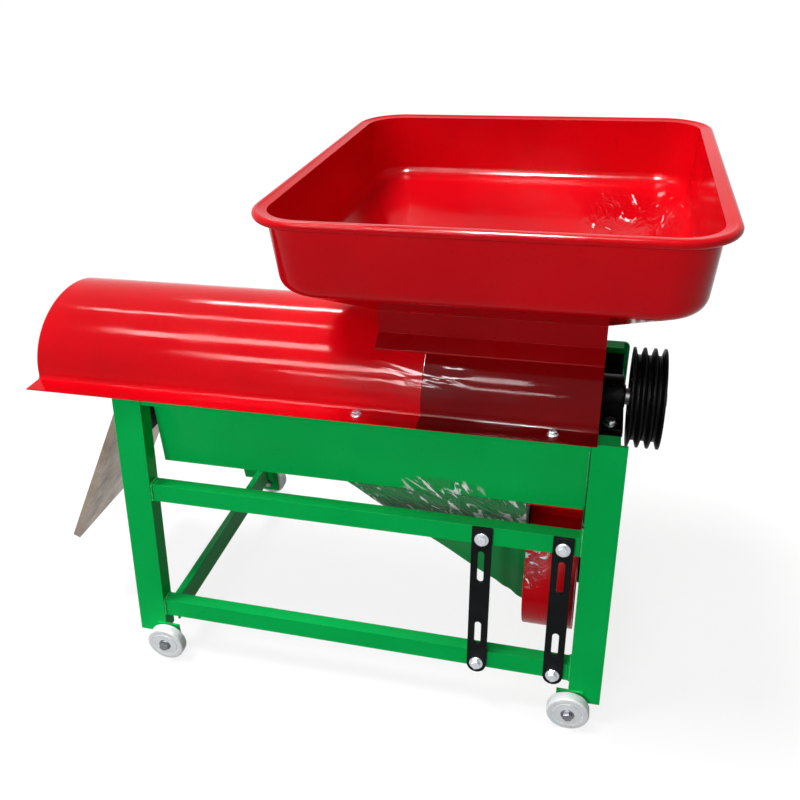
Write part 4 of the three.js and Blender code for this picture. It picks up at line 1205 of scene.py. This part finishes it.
def lamps():
    """A soft key from above left, fills from front and rear, and tubes seen only as gloss."""
    levels = (TUBE_RADIANCE,) * len(TUBES) + (RIM_RADIANCE,)
    for i, (place, level) in enumerate(zip((*TUBES, RIM_TUBE), levels)):
        x, y, length, width = place
        tube = area_lamp(f"tube_{i}", (x, y, TUBE_HEIGHT), (x, y, 0), (length, width), level)
        tube.visible_diffuse = False
    for name, (place, size, radiance) in FILLS.items():
        fill = area_lamp(name, place, FILL_TARGET, (size, size), radiance)
        fill.visible_glossy = False
    data = bpy.data.lights.new("key", "SUN")
    data.energy = KEY_STRENGTH
    data.angle = math.radians(KEY_SPREAD)
    key = bpy.data.objects.new("key", data)
    key.rotation_euler = Vector(KEY_TOWARDS).to_track_quat("Z", "Y").to_euler()
    key.visible_glossy = False
    bpy.context.scene.collection.objects.link(key)


def shown_rays(tree):
    """1 for camera, glossy and transmission rays."""
    path = tree.nodes.new("ShaderNodeLightPath")
    total = path.outputs["Is Camera Ray"]
    for name in ("Is Glossy Ray", "Is Transmission Ray"):
        node = tree.nodes.new("ShaderNodeMath")
        node.operation = "MAXIMUM"
        tree.links.new(total, node.inputs[0])
        tree.links.new(path.outputs[name], node.inputs[1])
        total = node.outputs[0]
    return total


def studio():
    world = bpy.data.worlds.new("studio")
    bpy.context.scene.world = world
    world.use_nodes = True
    tree = world.node_tree
    background = tree.nodes["Background"]
    background.inputs["Color"].default_value = (1, 1, 1, 1)
    level = tree.nodes.new("ShaderNodeMapRange")
    level.inputs["To Min"].default_value = AMBIENT
    level.inputs["To Max"].default_value = 1.0
    tree.links.new(shown_rays(tree), level.inputs["Value"])
    tree.links.new(level.outputs["Result"], background.inputs["Strength"])

    material = bpy.data.materials.new("studio_floor")
    material.use_nodes = True
    tree = material.node_tree
    tree.nodes.remove(tree.nodes["Principled BSDF"])
    shown = shown_rays(tree)
    tone = tree.nodes.new("ShaderNodeMapRange")
    tone.inputs["To Min"].default_value = FLOOR_BOUNCE
    tone.inputs["To Max"].default_value = FLOOR_TONE
    tree.links.new(shown, tone.inputs["Value"])
    diffuse = tree.nodes.new("ShaderNodeBsdfDiffuse")
    tree.links.new(tone.outputs["Result"], diffuse.inputs["Color"])
    glow = tree.nodes.new("ShaderNodeEmission")
    glow.inputs["Strength"].default_value = FLOOR_GLOW
    share = tree.nodes.new("ShaderNodeMath")
    share.operation = "MULTIPLY"
    tree.links.new(shown, share.inputs[0])
    share.inputs[1].default_value = FLOOR_GLOW_SHARE
    mix = tree.nodes.new("ShaderNodeMixShader")
    tree.links.new(share.outputs[0], mix.inputs[0])
    tree.links.new(diffuse.outputs[0], mix.inputs[1])
    tree.links.new(glow.outputs[0], mix.inputs[2])
    tree.links.new(mix.outputs[0], tree.nodes["Material Output"].inputs["Surface"])

    bm = bmesh.new()
    bmesh.ops.create_grid(
        bm, x_segments=FLOOR_CELLS, y_segments=FLOOR_CELLS, size=FLOOR_SIZE / 2,
    )
    mesh = bpy.data.meshes.new("studio_floor")
    bm.to_mesh(mesh)
    bm.free()
    mesh.materials.append(material)
    floor = bpy.data.objects.new("studio_floor", mesh)
    bpy.context.scene.collection.objects.link(floor)


def camera():
    data = bpy.data.cameras.new("photo_view")
    data.lens = CAMERA_LENS
    data.sensor_width = CAMERA_SENSOR
    data.sensor_fit = "HORIZONTAL"
    view = bpy.data.objects.new("photo_view", data)
    turn = (
        Matrix.Rotation(math.radians(CAMERA_YAW), 4, "Z")
        @ Matrix.Rotation(math.radians(CAMERA_TILT), 4, "X")
        @ Matrix.Rotation(math.radians(CAMERA_ROLL), 4, "Z")
    )
    view.matrix_world = Matrix.Translation(CAMERA_PLACE) @ turn
    bpy.context.scene.collection.objects.link(view)
    bpy.context.scene.camera = view


camera()
studio()
lamps()
bpy.context.scene.view_settings.view_transform = "Standard"

painted_frame()
welds()
trough()
covers()
hopper_pan()
fan_parts()
rotor()
pulley()
for block_side in ("left", "right"):
    pillow_block(block_side)
wheels()
bolts()
